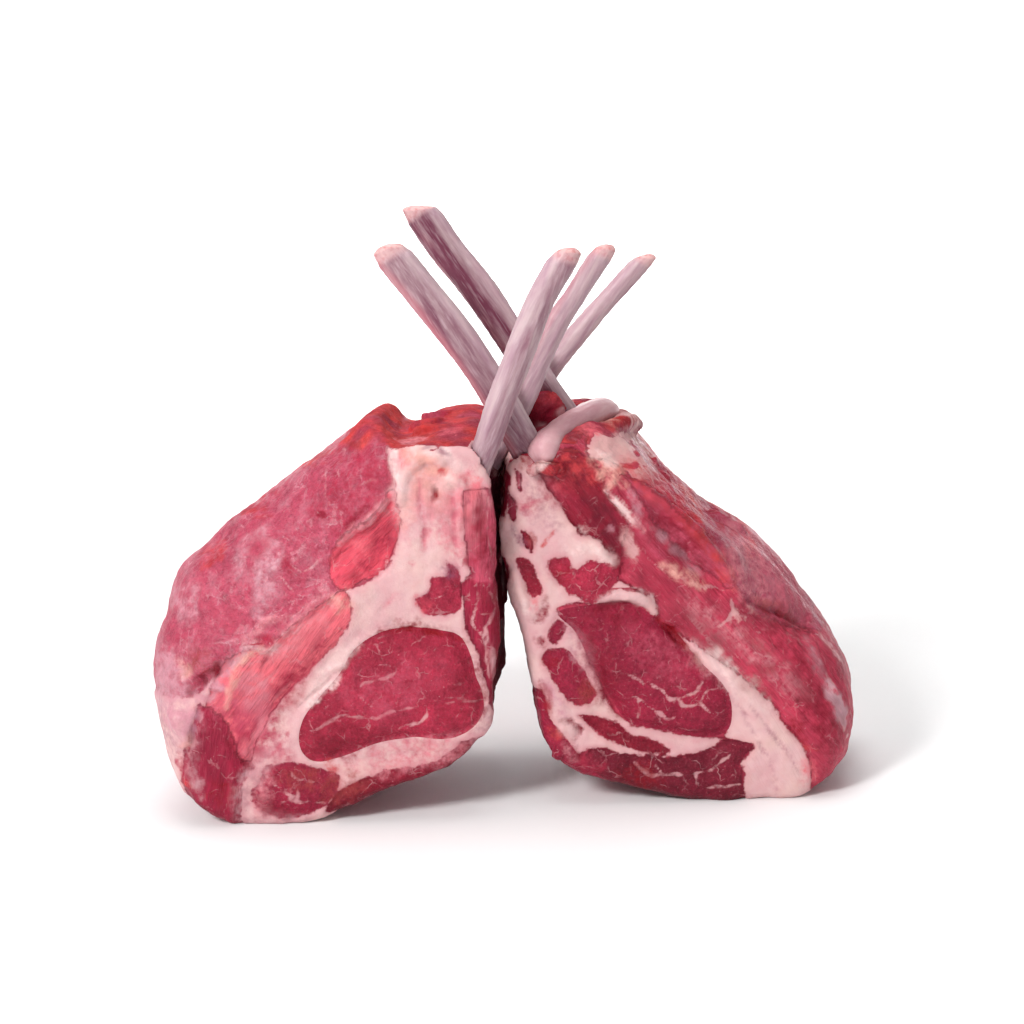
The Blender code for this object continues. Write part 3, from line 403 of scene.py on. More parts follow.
        ("rose", 0.6, 0.8, 1.0, 0.4, [(40.5, 102.5), (44, 94.5), (49, 89), (51.5, 85.5)]),
        ("ruby", 0.5, 0.4, 0.6, -0.5, [(42, 94.5), (45, 88.5), (49, 84)]),
        ("blush", 0.55, 0.35, 0.6, 0.3, [(43.5, 91), (48, 84.5), (53, 79.5)]),
        ("ruby", 0.5, 1.2, 1.6, 0, [(42, 83), (49, 77), (54.5, 72.5)]),
        ("cream", 0.7, 0.7, 0.8, 1.0, [(23.5, 98), (24.5, 97)]),
        ("lilac", 0.7, 0.6, 0.6, 0.8, [(32.5, 97.5), (33, 97)]),
        ("lilac", 0.6, 0.5, 0.6, 0.5, [(34, 95), (34.5, 94.5)]),
        ("cream", 0.7, 0.35, 0.4, 0.6, [(36.5, 99.5), (37.5, 99)]),
        ("flame", 0.8, 0.25, 0.4, -0.5, [(13.5, 97.5), (12, 94.5), (10, 91.5)]),
        ("cream", 0.6, 1.0, 1.4, 0.8, [(18, 91), (23.5, 91), (29, 90.5), (33.5, 86)]),
        ("blood_and_shade", 0.35, 2.0, 2.2, 0, [(15, 85), (16.5, 80.5)]),
        ("cream", 0.85, 0.35, 0.5, 0.3, [(19, 85), (20, 82)]),
        ("fat", 0.85, 1.1, 1.1, 1.2, [(29, 73.5), (34, 74.5), (40, 74.5), (45, 72), (47.5, 68.5)]),
        # A dark line under the tip of the fat tongue: painted shadow.
        ("blood_and_shade", 0.9, 0.5, 0.8, -1.6, [(48, 65.5), (53.5, 59.5), (58, 55.5)]),
        ("dark", 0.55, 0.6, 1.0, -0.8, [(26.5, 69.5), (31, 71), (35, 71.5), (41, 71)]),
        ("dark", 0.55, 0.35, 0.9, -0.4, [(36, 70.5), (34.5, 65.5), (34, 60.5)]),
        ("dark", 0.5, 0.35, 0.9, -0.4, [(41.5, 69.5), (40.5, 64.5)]),
        ("dark", 0.45, 0.35, 0.9, -0.4, [(29, 68.5), (26, 60.5), (26, 54.5)]),
        ("rose", 0.5, 2.2, 2.2, 0, [(4.5, 108), (5.5, 104.5)]),
        ("purple", 0.55, 0.6, 0.8, -0.5, [(0, 99), (2, 94.5), (6, 93)]),
        ("rust", 0.6, 0.9, 1.0, 0, [(6, 96), (6.5, 92)]),
        ("fat_warm", 0.5, 2.0, 2.4, 0.5, [(31, 125), (35.5, 123), (39, 119.5)]),
        ("rose", 0.45, 1.6, 2.0, 0, [(45.5, 113), (49.5, 108), (55.5, 102.5)]),
        ("ruby", 0.4, 3.0, 3.4, 0, [(52.5, 107.5), (58.5, 101.5)]),
        ("cream", 0.5, 0.25, 0.4, 0.2, [(48.5, 112), (50.5, 110)]),
        ("blush", 0.45, 2.4, 3.4, 0, [(76.5, 87), (79, 80.5)]),
        ("flame", 0.4, 0.8, 1.0, 0, [(80, 85), (83.5, 82)]),
        ("cream", 0.5, 0.7, 0.9, 0.4, [(26.5, 123.5), (32, 121), (35, 118.5)]),
        ("cream", 0.5, 0.5, 0.8, 0.4, [(43, 116.5), (48, 113)]),
        ("salmon", 0.8, 0.8, 0.9, 0.8, [(7, 74), (6.5, 71), (7, 69.5)]),
        ("cream", 0.6, 0.9, 1.0, 0.6, [(3.5, 74), (4.5, 69.5), (6.5, 67.5)]),
        ("wine", 0.7, 0.9, 1.0, -0.8, [(10.5, 74), (9, 68), (6, 66)]),
        ("blush", 0.7, 0.25, 0.4, 0.3, [(5, 64.5), (7.5, 62), (11, 59.5)]),
        ("cream", 0.7, 0.4, 0.5, 0.5, [(10, 68.5), (11.5, 66), (11.5, 63.5)]),
        ("blush", 0.5, 0.25, 0.4, 0.3, [(6.5, 65.5), (9, 63), (11, 61)]),
        ("wine", 0.7, 0.8, 1.0, -0.6, [(7, 59.5), (9.5, 57.5)]),
        ("lilac", 0.45, 1.8, 2.0, 0, [(18.5, 64), (22, 55.5), (25.5, 46.5)]),
        ("lilac", 0.7, 0.8, 1.0, 0.4, [(9.5, 47), (11, 42), (14.5, 36), (17, 32)]),
        ("blood_and_shade", 0.4, 1.6, 2.0, 0, [(11, 53.5), (13.5, 49)]),
        ("rust", 0.55, 1.4, 1.8, 0.3, [(23, 44.5), (24, 39.5), (21, 38)]),
        ("fat", 0.8, 1.6, 1.2, 1.6, [(16.5, 27.5), (18, 27)]),
        ("dark", 0.8, 0.5, 0.8, -1.4, [(15, 30.5), (18.5, 30), (21, 27), (19, 23.5)]),
        ("flame", 0.6, 0.8, 0.9, 0.4, [(11.5, 27), (13.5, 25)]),
        ("blush", 0.75, 1.3, 0.9, 1.2, [(15.5, 21.5), (17.5, 18.5), (20, 16)]),
        ("dark", 0.7, 0.5, 0.8, -1.0, [(19.5, 22), (21, 17.5), (22.5, 15)]),
        ("ruby", 0.6, 1.6, 1.0, 1.2, [(24.5, 16), (27, 14.5)]),
        ("ruby", 0.6, 1.0, 1.2, 0, [(8.5, 39), (10, 34)]),
        ("blood_and_shade", 0.5, 1.0, 1.2, 0, [(8.5, 44), (10, 38.5), (12, 32)]),
        ("dark", 0.5, 0.8, 1.8, -0.5, [(20.5, 64.5), (23, 59.5), (25.5, 54), (28.5, 46), (32.5, 37),
            (34.5, 31.5)]),
        # The dark line along the eye's upper right border, under the fat tongue: painted shadow.
        ("blood_and_shade", 0.85, 0.5, 0.8, -1.3, [(48, 65.5), (51.5, 63), (56, 58), (61, 52), (64, 47.5)]),
        ("blush", 0.55, 0.25, 0.4, 0.2, [(27, 57.5), (28.5, 55.5), (28, 52)]),
        ("blush", 0.6, 0.25, 0.4, 0.2, [(32, 52.5), (34.5, 53), (37, 52)]),
        ("blush", 0.6, 0.3, 0.4, 0.2, [(36.5, 47), (39.5, 46), (41.5, 44.5)]),
        ("blush", 0.5, 0.25, 0.4, 0.2, [(33.5, 39), (37.5, 38.5), (41, 38.5), (42.5, 37)]),
        ("blush", 0.5, 0.25, 0.4, 0.2, [(41, 38.5), (41.5, 35), (40.5, 31.5)]),
        ("dark", 0.6, 0.4, 0.7, -0.6, [(51.5, 42.5), (53, 39.5)]),
        ("blood_and_shade", 0.45, 2.4, 2.6, 0, [(36, 12), (41.5, 9), (47, 7.5)]),
        ("rose", 0.5, 0.3, 0.5, 0.2, [(46, 13.5), (50, 10.5)]),
        ("dark", 0.5, 0.4, 0.7, -0.6, [(21, 32), (25.5, 29.5), (30.5, 25.5), (35, 23.5)]),
        ("fat_shade", 0.55, 0.2, 0.5, -0.6, [(71.5, 38.5), (78, 29.5), (82.5, 20), (86.5, 11.5),
            (88.5, 1.5)]),
        ("fat_shade", 0.55, 0.2, 0.5, -0.6, [(74.5, 40), (80.5, 32.5), (86.5, 24.5), (93, 15.5),
            (96.5, 7.5)]),
        ("cream", 0.55, 2.0, 2.2, 0.6, [(61, 55), (68, 50), (75.5, 42.5), (83, 35)]),
        ("salmon", 0.5, 1.2, 1.8, 0, [(98, 14), (100, 9.5), (98, 6)]),
        ("flame", 0.6, 0.4, 0.6, 0, [(96.5, 20), (98, 19), (102, 17.5)]),
        ("blood_and_shade", 0.65, 1.0, 1.4, -0.6, [(93.5, 28.5), (95, 24), (97.5, 21.5)]),
        ("dark", 0.5, 0.6, 1.0, -0.6, [(96, 34.5), (98.5, 33.5)]),
        ("silver", 0.9, 1.2, 1.2, 0.5, [(106, 38.5), (108.5, 33.5), (110.5, 29), (112.5, 24)]),
        ("lilac", 0.5, 0.7, 1.2, 0.2, [(99.5, 53), (102.5, 46), (105, 40.5)]),
        ("blush", 0.5, 0.3, 0.6, 0.2, [(102, 56), (106, 51.5), (110, 46), (115.5, 36.5)]),
        ("blush", 0.5, 0.3, 0.5, 0.2, [(92.5, 56.5), (97.5, 53), (101, 49)]),
        ("dark", 0.75, 0.35, 0.7, -1.5, [(80, 67), (85.5, 64.5), (90.5, 61.5), (96, 57.5), (101, 54.5)]),
        ("rust", 0.5, 0.8, 1.0, 1.0, [(80.5, 69), (85.5, 67), (90.5, 64), (96, 59)]),
        ("rose", 0.4, 2.4, 3.0, 0, [(86.5, 78), (91.5, 72.5), (97, 65.5), (101, 59)]),
        ("ruby", 0.4, 1.4, 2.0, 0, [(94.5, 70), (100, 63), (104.5, 55)]),
        ("fat_warm", 0.75, 1.0, 0.8, 0.5, [(74, 67.5), (75.5, 65), (77.5, 64.5)]),
        ("cream", 0.7, 0.35, 0.5, 0.4, [(73, 71), (73.5, 65.5), (72.5, 61)]),
        ("cream", 0.7, 0.5, 0.6, 0.4, [(66, 61.5), (69, 63.5), (72.5, 64.5), (78.5, 63.5)]),
        ("blush", 0.75, 0.35, 0.5, 0.3, [(57.5, 66), (61.5, 65), (65, 60), (68.5, 54.5)]),
        ("peach", 0.7, 0.9, 1.2, 0.6, [(50, 84.5), (55, 81.5), (60, 78.5), (64, 76)]),
        ("cream", 0.6, 0.5, 0.8, 0.5, [(63, 76), (66.5, 75), (71.5, 73)]),
        ("fat_warm", 0.7, 0.5, 0.7, 0.3, [(79.5, 67.5), (81.5, 64.5)]),
        ("wine", 0.4, 1.6, 2.2, 0, [(88, 63.5), (93, 59)]),
        ("rose", 0.5, 0.4, 0.7, 0.2, [(70, 58.5), (77.5, 54.5), (84.5, 51.5), (91, 49.5)]),
        ("blood_and_shade", 0.4, 0.4, 0.8, -0.3, [(77.5, 59), (82, 54.5), (87, 51)]),
        ("blood_and_shade", 0.4, 0.6, 1.0, -0.3, [(79.5, 48.5), (86, 46.5), (90, 48.5)]),
        ("wine", 0.45, 3.0, 3.4, 0, [(100, 35.5), (106.5, 27), (107.5, 19.5)]),
        ("blood_and_shade", 0.35, 1.6, 2.4, 0, [(75.5, 45), (84, 38)]),
        ("cream", 0.7, 0.35, 0.4, 0.2, [(81.5, 59), (83, 58.5)]),
        ("cream", 0.6, 0.3, 0.4, 0.2, [(97.5, 26), (98, 25.5)]),
    ],
}

# Lips, rolls and lobes that stand on the cut: radius at the start, middle and end, lift, and path.
LOBES = {
    "left": [
        ((1.6, 2.8, 1.6), 0.5, [(-36, 111), (-35.5, 118), (-32, 124), (-27, 126.5), (-22, 124.5)]),
        ((1.4, 2.4, 1.0), 0.4, [(-22, 118.5), (-18.5, 119.5), (-16, 116.5), (-16, 107)]),
        ((0.9, 2.2, 1.0), 0.9, [(-100, 54.5), (-92, 62), (-84.5, 63.5), (-78, 67.5), (-71, 73), (-61, 80)]),
        ((0.9, 2.1, 1.0), 0.8, [(-38.5, 113.5), (-44, 109.5), (-50, 103.5), (-57, 98), (-60.5, 91)]),
        ((1.5, 3.4, 1.5), 0.4, [(-117, 41), (-113, 37), (-110.5, 30)]),
        ((0.8, 1.7, 0.8), 0.2, [(-8, 118), (-7.5, 106), (-7.5, 94), (-6, 84)]),
    ],
    "right": [
        ((0.8, 1.7, 0.8), 0.5, [(24, 73), (30, 74), (37.5, 74.5), (43.5, 72), (47.5, 67.5)]),
        ((0.8, 2.0, 1.0), 0.6, [(8.5, 119), (13, 120), (18, 123), (24, 122), (28, 118.5)]),
        ((1.0, 2.6, 1.0), 1.0, [(36, 115.5), (43, 111), (51, 103), (58.5, 96), (66, 88), (73, 78)]),
        ((0.8, 1.9, 0.8), 0.7, [(75, 70.5), (80, 65.5), (87, 61), (94, 57), (102, 53)]),
        ((1.0, 2.4, 1.2), 0.6, [(26, 119), (31, 114), (35, 108.5), (40, 104)]),
        ((1.0, 2.0, 1.0), 0.2, [(4, 71), (2, 77), (0.5, 84)]),
        ((2.0, 2.4, 2.0), 0.2, [(13, 19.5), (14, 19), (15, 18.5)]),
        ((1.6, 1.9, 1.4), 0.0, [(14, 14), (17, 11), (20, 8)]),
        ((1.2, 1.5, 1.2), 0.2, [(21, 94), (24, 93), (28, 92), (32, 88)]),
    ],
}

# Rolls of flesh and fat on top, from the front to the back: radius at the start, middle and end, and path.
MOUNDS = {
    "left": [
        ((1.2, 2.4, 1.2), [(-33, -8, 126), (-28, -3, 129.5), (-21, -8, 130)]),
        ((1.4, 2.6, 1.4), [(-33, 8, 128.5), (-26, 3, 130), (-19, 9, 129.5)]),
        ((1.4, 2.4, 1.4), [(-29, 20, 128.5), (-23, 15, 130), (-17, 20, 129.5)]),
    ],
    "right": [
        ((1.6, 2.6, 3.6), [(15.5, -20, 118.5), (20, -13, 121.5), (25, -6, 124), (31, 3, 125.5), (37, 13, 126),
            (41, 24, 124.5)]),
        ((2.6, 4.4, 3.2), [(33, 21, 125), (38, 25, 125), (44, 27, 121)]),
        ((1.5, 2.2, 1.5), [(6, -20.5, 118), (10.5, -21, 120), (15, -20.5, 119)]),
        ((2.4, 3.4, 2.4), [(6.5, 0, 122), (7.5, 0, 129), (9, 1, 136), (13, 2, 138), (17, 4, 133)]),
        ((2.8, 3.6, 2.8), [(12, 2, 122), (12.5, 2, 129), (14.5, 3, 134)]),
    ],
}

# Stains in the round: centre, reach, cover and tone. The wide dark one on top of the right rack is painted
# shade in the hollow round the roots of the ribs.
STAINS = {
    "left": [
        ((-27, -4, 131), 7, 0.7, "ember"), ((-20, 4, 131), 6, 0.7, "flame"),
        ((-30, 12, 130), 8, 0.6, "rose"), ((-33, -14, 128), 7, 0.6, "blush"),
        ((-19, -12, 130), 5, 0.5, "salmon"), ((-14, 10, 130), 6, 0.5, "rose"),
        ((-22, 18, 130), 6, 0.7, "ruby"),
    ],
    "right": [
        ((11, 1, 131), 12, 0.95, "dark"), ((11, -4, 128), 3.6, 0.6, "lump"),
        ((17.5, 1, 133), 3.0, 0.6, "lump"), ((25, -4, 129), 7, 0.7, "salmon"),
        ((33, 9, 131), 6, 0.6, "peach"), ((10, -22, 121), 3.5, 0.7, "cream"),
        ((37, 20, 130), 10, 0.75, "fat_warm"), ((44, 22, 126), 8, 0.5, "cream"),
        ((5, -20, 122), 6, 0.5, "blood_and_shade"),
    ],
}

# Upright rolls of flesh on the walls between the racks, which close the view through: radius, y, and the
# heights of both ends.
INNER_ROLLS = {
    "left": [(2.6, 2.0, 62.0, 116.0), (2.6, 30.0, 60.0, 116.0)],
    "right": [(2.6, 16.0, 62.0, 116.0)],
}
# The middle of the gap between the racks, and how far the painted shade on its walls reaches to either side
# of it.
GAP_MIDDLE = 1.0
GAP_SHADE_REACH = 30.0
# How much the dark tone covers those walls, as painted shade of the narrow gap.
GAP_SHADE_COVER = 0.92

# The hidden ends of the ribs are filled in below this height, and what joins the flesh is grown by this much.
SOCKET_TOP = 118.0
GROWN = 0.45
# Mesh step and smoothing of the rough body that the lobes are laid on.
ROUGH_STEP = 1.3
ROUGH_PASSES = 14
# The share of its radius that a tube sinks into the cut, and into the wall between the racks.
LOBE_SUNK = 0.45
ROLL_SUNK = 0.3
# How many times the line of a lobe is smoothed.
LOBE_PASSES = 12
# The y, well in front of both racks, from which the lobes are laid on the cuts.
IN_FRONT = -200.0

# Depths under an outline are told up to this far from it.
REACH = 5.0
# Pale strokes with a half width up to the first are threads, and are drawn with the second.
THREAD_LIMIT = 0.5
THREAD_HALF_WIDTH = 0.26
# The narrowest ridge or groove that the fine mesh can carry.
THINNEST_RIDGE = 0.9
# How far fat stands out of the cut, and how far a muscle swells between its borders.
FAT_RISE = 0.5
MUSCLE_RISE = 0.9
# How strongly strokes lift or sink the front cut and the one at the back.
FRONT_STROKES = 0.85
BACK_STROKES = 0.5
# Unevenness of a knife cut through soft flesh: length of a wave and its height.
RELIEF_WAVES = ((10.0, 0.6), (4.2, 0.36), (2.1, 0.18))
# How far the relief may stand out in front of the plain part.
FURTHEST_OUT = 2.2

# The cuts end at this height, and the torn tops begin.
TOP_LEVEL = 124.0
# Fat depth of the outside, how far it swings from place to place, and how much less fat the torn tops show.
OUTER_FAT = {"left": -1.6, "right": -2.5}
OUTER_FAT_SWING = 3.0
TOP_FAT_LOSS = 1.6
# How much of the outside the thin pale skin covers.
SKIN_SHARE = {"left": 1.0, "right": 0.7}


def linear(code):
    """An sRGB hex colour as linear red, green and blue."""
    parts = np.array([int(code[i:i + 2], 16) / 255 for i in (0, 2, 4)])
    return np.where(parts <= 0.04045, parts / 12.92, ((parts + 0.055) / 1.055) ** 2.4)


class LambFlesh(bpy.types.PropertyGroup):
    """Sizes and finish of the flesh."""
    grain: FloatProperty(name="Mesh step", description="Distance between points of the fine surface",
                         default=0.81 * MM, min=0.5 * MM, max=3 * MM, unit="LENGTH")
    relief: FloatProperty(name="Relief", description="Strength of the fine unevenness of the cut",
                          default=1.0, min=0.0, max=3.0)
    wetness: FloatProperty(name="Wetness", description="Strength of the wet film on the surface",
                           default=0.07, min=0.0, max=1.0, subtype="FACTOR")


class LambBone(bpy.types.PropertyGroup):
    """Sizes and finish of the ribs and the cartilage."""
    grain: FloatProperty(name="Mesh step", description="Distance between points of the fine surface",
                         default=0.5 * MM, min=0.3 * MM, max=2 * MM, unit="LENGTH")
    colour: FloatVectorProperty(name="Bone", description="Colour of scraped bone", subtype="COLOR",
                                default=tuple(linear("c8aeb1")), min=0.0, max=1.0)


class LambStage(bpy.types.PropertyGroup):
    """The floor, the light and the camera."""
    brightness: FloatProperty(name="Light", description="Strength of the studio light", default=1.0, min=0.0)


def smooth_line(points, steps, closed):
    """A curve through all of the points, as many steps to each span."""
    knots = np.array(points, dtype=float)
    count = len(knots)
    if closed:
        before, after = knots[np.arange(-1, count - 1)], knots[(np.arange(count) + 1) % count]
        beyond, spans = knots[(np.arange(count) + 2) % count], range(count)
    else:
        long = np.vstack([2 * knots[0] - knots[1], knots, 2 * knots[-1] - knots[-2]])
        before, after, beyond, spans = long[:-3], long[2:-1], long[3:], range(count - 1)
    line = []
    for i in spans:
        a, b, c, d = before[i], knots[i], after[i], beyond[i]
        for t in np.arange(steps) / steps:
            line.append(0.5 * (2 * b + (c - a) * t + (2 * a - 5 * b + 4 * c - d) * t ** 2
                               + (3 * b - a - 3 * c + d) * t ** 3))
    if not closed:
        line.append(knots[-1])
    return np.array(line)


def soft_step(value):
    """Rises smoothly from 0 to 1 while the value does."""
    value = np.clip(value, 0, 1)
    return value * value * (3 - 2 * value)


def path_gap(points, line):
    """Each (x, z) point's distance from a bent line, how far along it that place is, and its length."""
    nearest = np.full(len(points), 1e9)
    passed = np.zeros(len(points))
    length = 0.0
    for start, end in zip(line, line[1:]):
        along = end - start
        away = points - start
        share = np.clip(away @ along / (along @ along), 0, 1)
        gap = np.hypot(*(away - share[:, None] * along).T)
        closer = gap < nearest
        step = math.hypot(*along)
        nearest[closer] = gap[closer]
        passed[closer] = length + share[closer] * step
        length += step
    return nearest, passed, length


def inside(points, line):
    """Whether each (x, z) point lies inside a closed line."""
    held = np.zeros(len(points), dtype=bool)
    x, z = points[:, 0], points[:, 1]
    for (x0, z0), (x1, z1) in zip(line, np.roll(line, -1, axis=0)):
        crosses = (z0 > z) != (z1 > z)
        with np.errstate(divide="ignore", invalid="ignore"):
            held ^= crosses & (x < (x1 - x0) * (z - z0) / (z1 - z0) + x0)
    return held


def near(points, line, reach):
    """The points that lie within reach of a line's own box."""
    low, high = line.min(axis=0) - reach, line.max(axis=0) + reach
    return np.nonzero(np.all((points > low) & (points < high), axis=1))[0]


def outline_depth(points, outline):
    """How deep each point lies inside an outline, in millimetres; negative outside, and never past REACH."""
    line = smooth_line(outline, 3, True)
    depth = np.full(len(points), -REACH)
    chosen = near(points, line, REACH)
    gap = np.minimum(path_gap(points[chosen], np.vstack([line, line[:1]]))[0], REACH)
    depth[chosen] = np.where(inside(points[chosen], line), gap, -gap)
    return depth


def stroke_depth(points, path, half_width):
    """The same for a line of that half width."""
    line = smooth_line(path, 3, False)
    depth = np.full(len(points), -REACH)
    chosen = near(points, line, REACH)
    gap, passed, length = path_gap(points[chosen], line)
    taper = 0.3 + 0.7 * soft_step(np.minimum(passed, length - passed) / (0.3 * length))
    depth[chosen] = np.maximum(half_width * taper - gap, -REACH)
    return depth


def noise_at(points, size, offset):
    """Smooth noise from -1 to 1 with waves of that size in millimetres."""
    return np.array([noise.noise(Vector(p)) for p in points / size + offset])


def points_of(mesh):
    """A mesh's points in the drawing's millimetres."""
    flat = np.empty(len(mesh.vertices) * 3)
    mesh.vertices.foreach_get("co", flat)
    return flat.reshape(-1, 3) / MM - DRAWING_ZERO


def place_points(mesh, points):
    """Moves a mesh's points to places in the drawing's millimetres."""
    mesh.vertices.foreach_set("co", ((points + DRAWING_ZERO) * MM).ravel())
    mesh.update()


def facing_of(mesh):
    """Which way the surface faces at every point."""
    flat = np.empty(len(mesh.vertices) * 3)
    mesh.vertex_normals.foreach_get("vector", flat)
    return flat.reshape(-1, 3)


def new_piece(name, mesh):
    """Adds a mesh to the scene."""
    piece = bpy.data.objects.new(name, mesh)
    bpy.context.scene.collection.objects.link(piece)
    return piece


def bake_modifiers(piece):
    """Gives a piece the mesh that its modifiers make."""
    bpy.context.view_layer.update()
    ready = piece.evaluated_get(bpy.context.evaluated_depsgraph_get())
    mesh = bpy.data.meshes.new_from_object(ready)
    piece.modifiers.clear()
    piece.data = mesh
    return mesh


def remesh(piece, step, passes):
    """An even fine mesh, smoothed."""
    even = piece.modifiers.new("even_mesh", "REMESH")
    even.mode = "VOXEL"
    even.voxel_size = step
    soft = piece.modifiers.new("soft", "SMOOTH")
    soft.factor = 0.5
    soft.iterations = passes
    return bake_modifiers(piece)


def welded(node):
    """A node's mesh with its shared corners joined, as a bmesh."""
    shape = bmesh.new()
    shape.from_mesh(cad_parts[node].data)
    bmesh.ops.remove_doubles(shape, verts=shape.verts, dist=1e-6)
    return shape


def as_mesh(shape, name):
    """Turns a bmesh into a mesh and frees it."""
    mesh = bpy.data.meshes.new(name)
    shape.to_mesh(mesh)
    shape.free()
    return mesh


def join(shape, other):
    """Adds all of another bmesh to this one."""
    mesh = as_mesh(other, "joined")
    shape.from_mesh(mesh)
    bpy.data.meshes.remove(mesh)


def tube(shape, middle, radii, sides=12):
    """Adds a closed round body along points in metres."""
    rings = []
    along = np.gradient(middle, axis=0)
    for centre, way, radius in zip(middle, along, radii):
        way = way / np.linalg.norm(way)
        side = np.cross(way, (0, 1, 0))
        side /= np.linalg.norm(side)
        deep = np.cross(side, way)
        ring = []
        for turn in np.arange(sides) * 2 * math.pi / sides:
            ring.append(shape.verts.new(centre + (side * math.cos(turn) + deep * math.sin(turn)) * radius))
        rings.append(ring)
    for one, other in zip(rings, rings[1:]):
        for i in range(sides):
            j = (i + 1) % sides
            shape.faces.new((one[i], one[j], other[j], other[i]))
    shape.faces.new(list(reversed(rings[0])))
    shape.faces.new(rings[-1])


def fill_socket(shape, node):
    """Adds the sunk end of a rib, slightly grown, so that the flesh closes round it."""
    rib = welded(node)
    points = np.array([v.co for v in rib.verts])
    rib.free()
    sunk = points[points[:, 2] < SOCKET_TOP * MM]
    centre = sunk.mean(axis=0)
    core = bmesh.new()
    for point in sunk:
        away = point - centre
        core.verts.new(centre + away * (1 + GROWN * MM / np.linalg.norm(away)))
    bmesh.ops.convex_hull(core, input=core.verts)
    loose = [v for v in core.verts if not v.link_faces]
    bmesh.ops.delete(core, geom=loose, context="VERTS")
    join(shape, core)


def in_section(points, side):
    """Points slid back along the rack's lean, so that one outline serves its whole length."""
    lean = math.tan(math.radians(TURN[side]))
    return np.column_stack([points[:, 0] - (points[:, 1] - FRONT[side]) * lean, points[:, 2]])


def rough_flesh(side):
    """One rack's flesh as a single rough body: meat, eye muscle and filled sockets."""
    shape = welded(side + "_meat")
    eye = welded(side + "_loin_eye")
    middle = smooth_line(EYE[side], 3, True).mean(axis=0)
    for vert in eye.verts:
        point = np.array(vert.co) / MM - DRAWING_ZERO
        away = in_section(point[None], side)[0] - middle
        away /= np.linalg.norm(away)
        vert.co.x += away[0] * GROWN * MM
        vert.co.z += away[1] * GROWN * MM
    join(shape, eye)
    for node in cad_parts:
        if node.startswith(side + "_rib"):
            fill_socket(shape, node)
    piece = new_piece(side + "_flesh", as_mesh(shape, side + "_flesh"))
    remesh(piece, ROUGH_STEP * MM, ROUGH_PASSES)
    return piece


def thickness(radii, count):
    """The radius at so many places from the start over the middle to the end."""
    return np.interp(np.linspace(0, 2, count), (0, 1, 2), radii)


def add_lobes(piece, side):
    """Tubes sunk into the surface: lips and rolls on the front cut, on top and between the racks."""
    shape = bmesh.new()
    shape.from_mesh(piece.data)
    wall = BVHTree.FromBMesh(shape)
    for radii, lift, path in LOBES[side]:
        line = smooth_line(path, 5, False)
        size = thickness(radii, len(line))
        middle = []
        for (x, z), radius in zip(line, size):
            start = Vector(((x + DRAWING_ZERO[0]) * MM, IN_FRONT * MM, z * MM))
            hit = wall.ray_cast(start, Vector((0, 1, 0)))[0]
            if hit is not None:
                middle.append(np.array(hit) - (0, (lift - radius * LOBE_SUNK) * MM, 0))
        if len(middle) > 3:
            middle = np.array(middle)
            for _ in range(LOBE_PASSES):
                middle[1:-1, 1] = (middle[:-2, 1] + 2 * middle[1:-1, 1] + middle[2:, 1]) / 4
            tube(shape, middle, size[:len(middle)] * MM)
    for radii, path in MOUNDS[side]:
        line = smooth_line(path, 5, False)
        tube(shape, (line + DRAWING_ZERO) * MM, thickness(radii, len(line)) * MM)
    way = 1 if side == "left" else -1
    for radius, y, low, high in INNER_ROLLS[side]:
        middle = []
        for z in np.linspace(low, high, 12):
            start = Vector(((GAP_MIDDLE + DRAWING_ZERO[0]) * MM, (y + DRAWING_ZERO[1]) * MM, z * MM))
            hit = wall.ray_cast(start, Vector((-way, 0, 0)))[0]
            if hit is not None:
                middle.append(np.array(hit) - (way * radius * ROLL_SUNK * MM, 0, 0))
        if len(middle) > 3:
            tube(shape, np.array(middle), np.full(len(middle), radius * MM))
    shape.to_mesh(piece.data)
    shape.free()


def warped(points):
    """Offsets in millimetres that make the drawn borders wander as grown tissue does."""
    slow = [noise_at(points, 6.0, start) * 0.8 for start in (3.0, 9.0)]
    quick = [noise_at(points, 2.3, start) * 0.4 for start in (15.0, 19.0)]
    return np.column_stack([slow[0] + quick[0], slow[1] + quick[1]])


def painted(side, section, only_eye):
    """What the outlines paint at (x, z) points of a cut. Of the eye muscle, only its own lean shows."""
    count = len(section)
    base = EYE_TONE[side] if only_eye else OUTER_TONE[side]
    lean = np.tile(linear(TONES[base]), (count, 1))
    pale = np.tile(linear(TONES["fat"]), (count, 1))
    fat = np.full(count, -REACH)
    angle = np.zeros(count)
    fibrous = np.zeros(count)
    cover = np.full(count, 1.0 if only_eye else 0.0)
    for kind, tone, fibre, outline in [] if only_eye else TISSUES[side]:
        depth = outline_depth(section, outline)
        share = soft_step(depth / 0.8 + 0.5)[:, None]
        if kind == "fat":
            fat = np.maximum(fat, depth)
            pale = pale + (linear(TONES[tone]) - pale) * share
        else:
            fat = np.minimum(fat, -depth)
            lean = lean + (linear(TONES[tone]) - lean) * share
        taken = depth > 0
        angle[taken] = fibre or 0
        fibrous[taken] = 0.0 if fibre is None else 1.0
        cover = np.maximum(cover, share[:, 0])
    return {"fat": fat, "lean": lean, "pale": pale, "angle": angle, "fibrous": fibrous, "cover": cover}


def is_thread(name, half_width, height):
    """Whether a stroke is a pale thread, which is drawn as finely as the veins."""
    pale = name in ("cream", "lilac", "silver") or name in ("blush", "rose") and height > 0
    return pale and half_width <= THREAD_LIMIT


def threads(side):
    """Half width and path of every vein and pale thread."""
    found = list(VEINS[side])
    for name, _, half_width, _, height, path in STROKES[side]:
        if is_thread(name, half_width, height):
            found.append((THREAD_HALF_WIDTH, path))
    return found


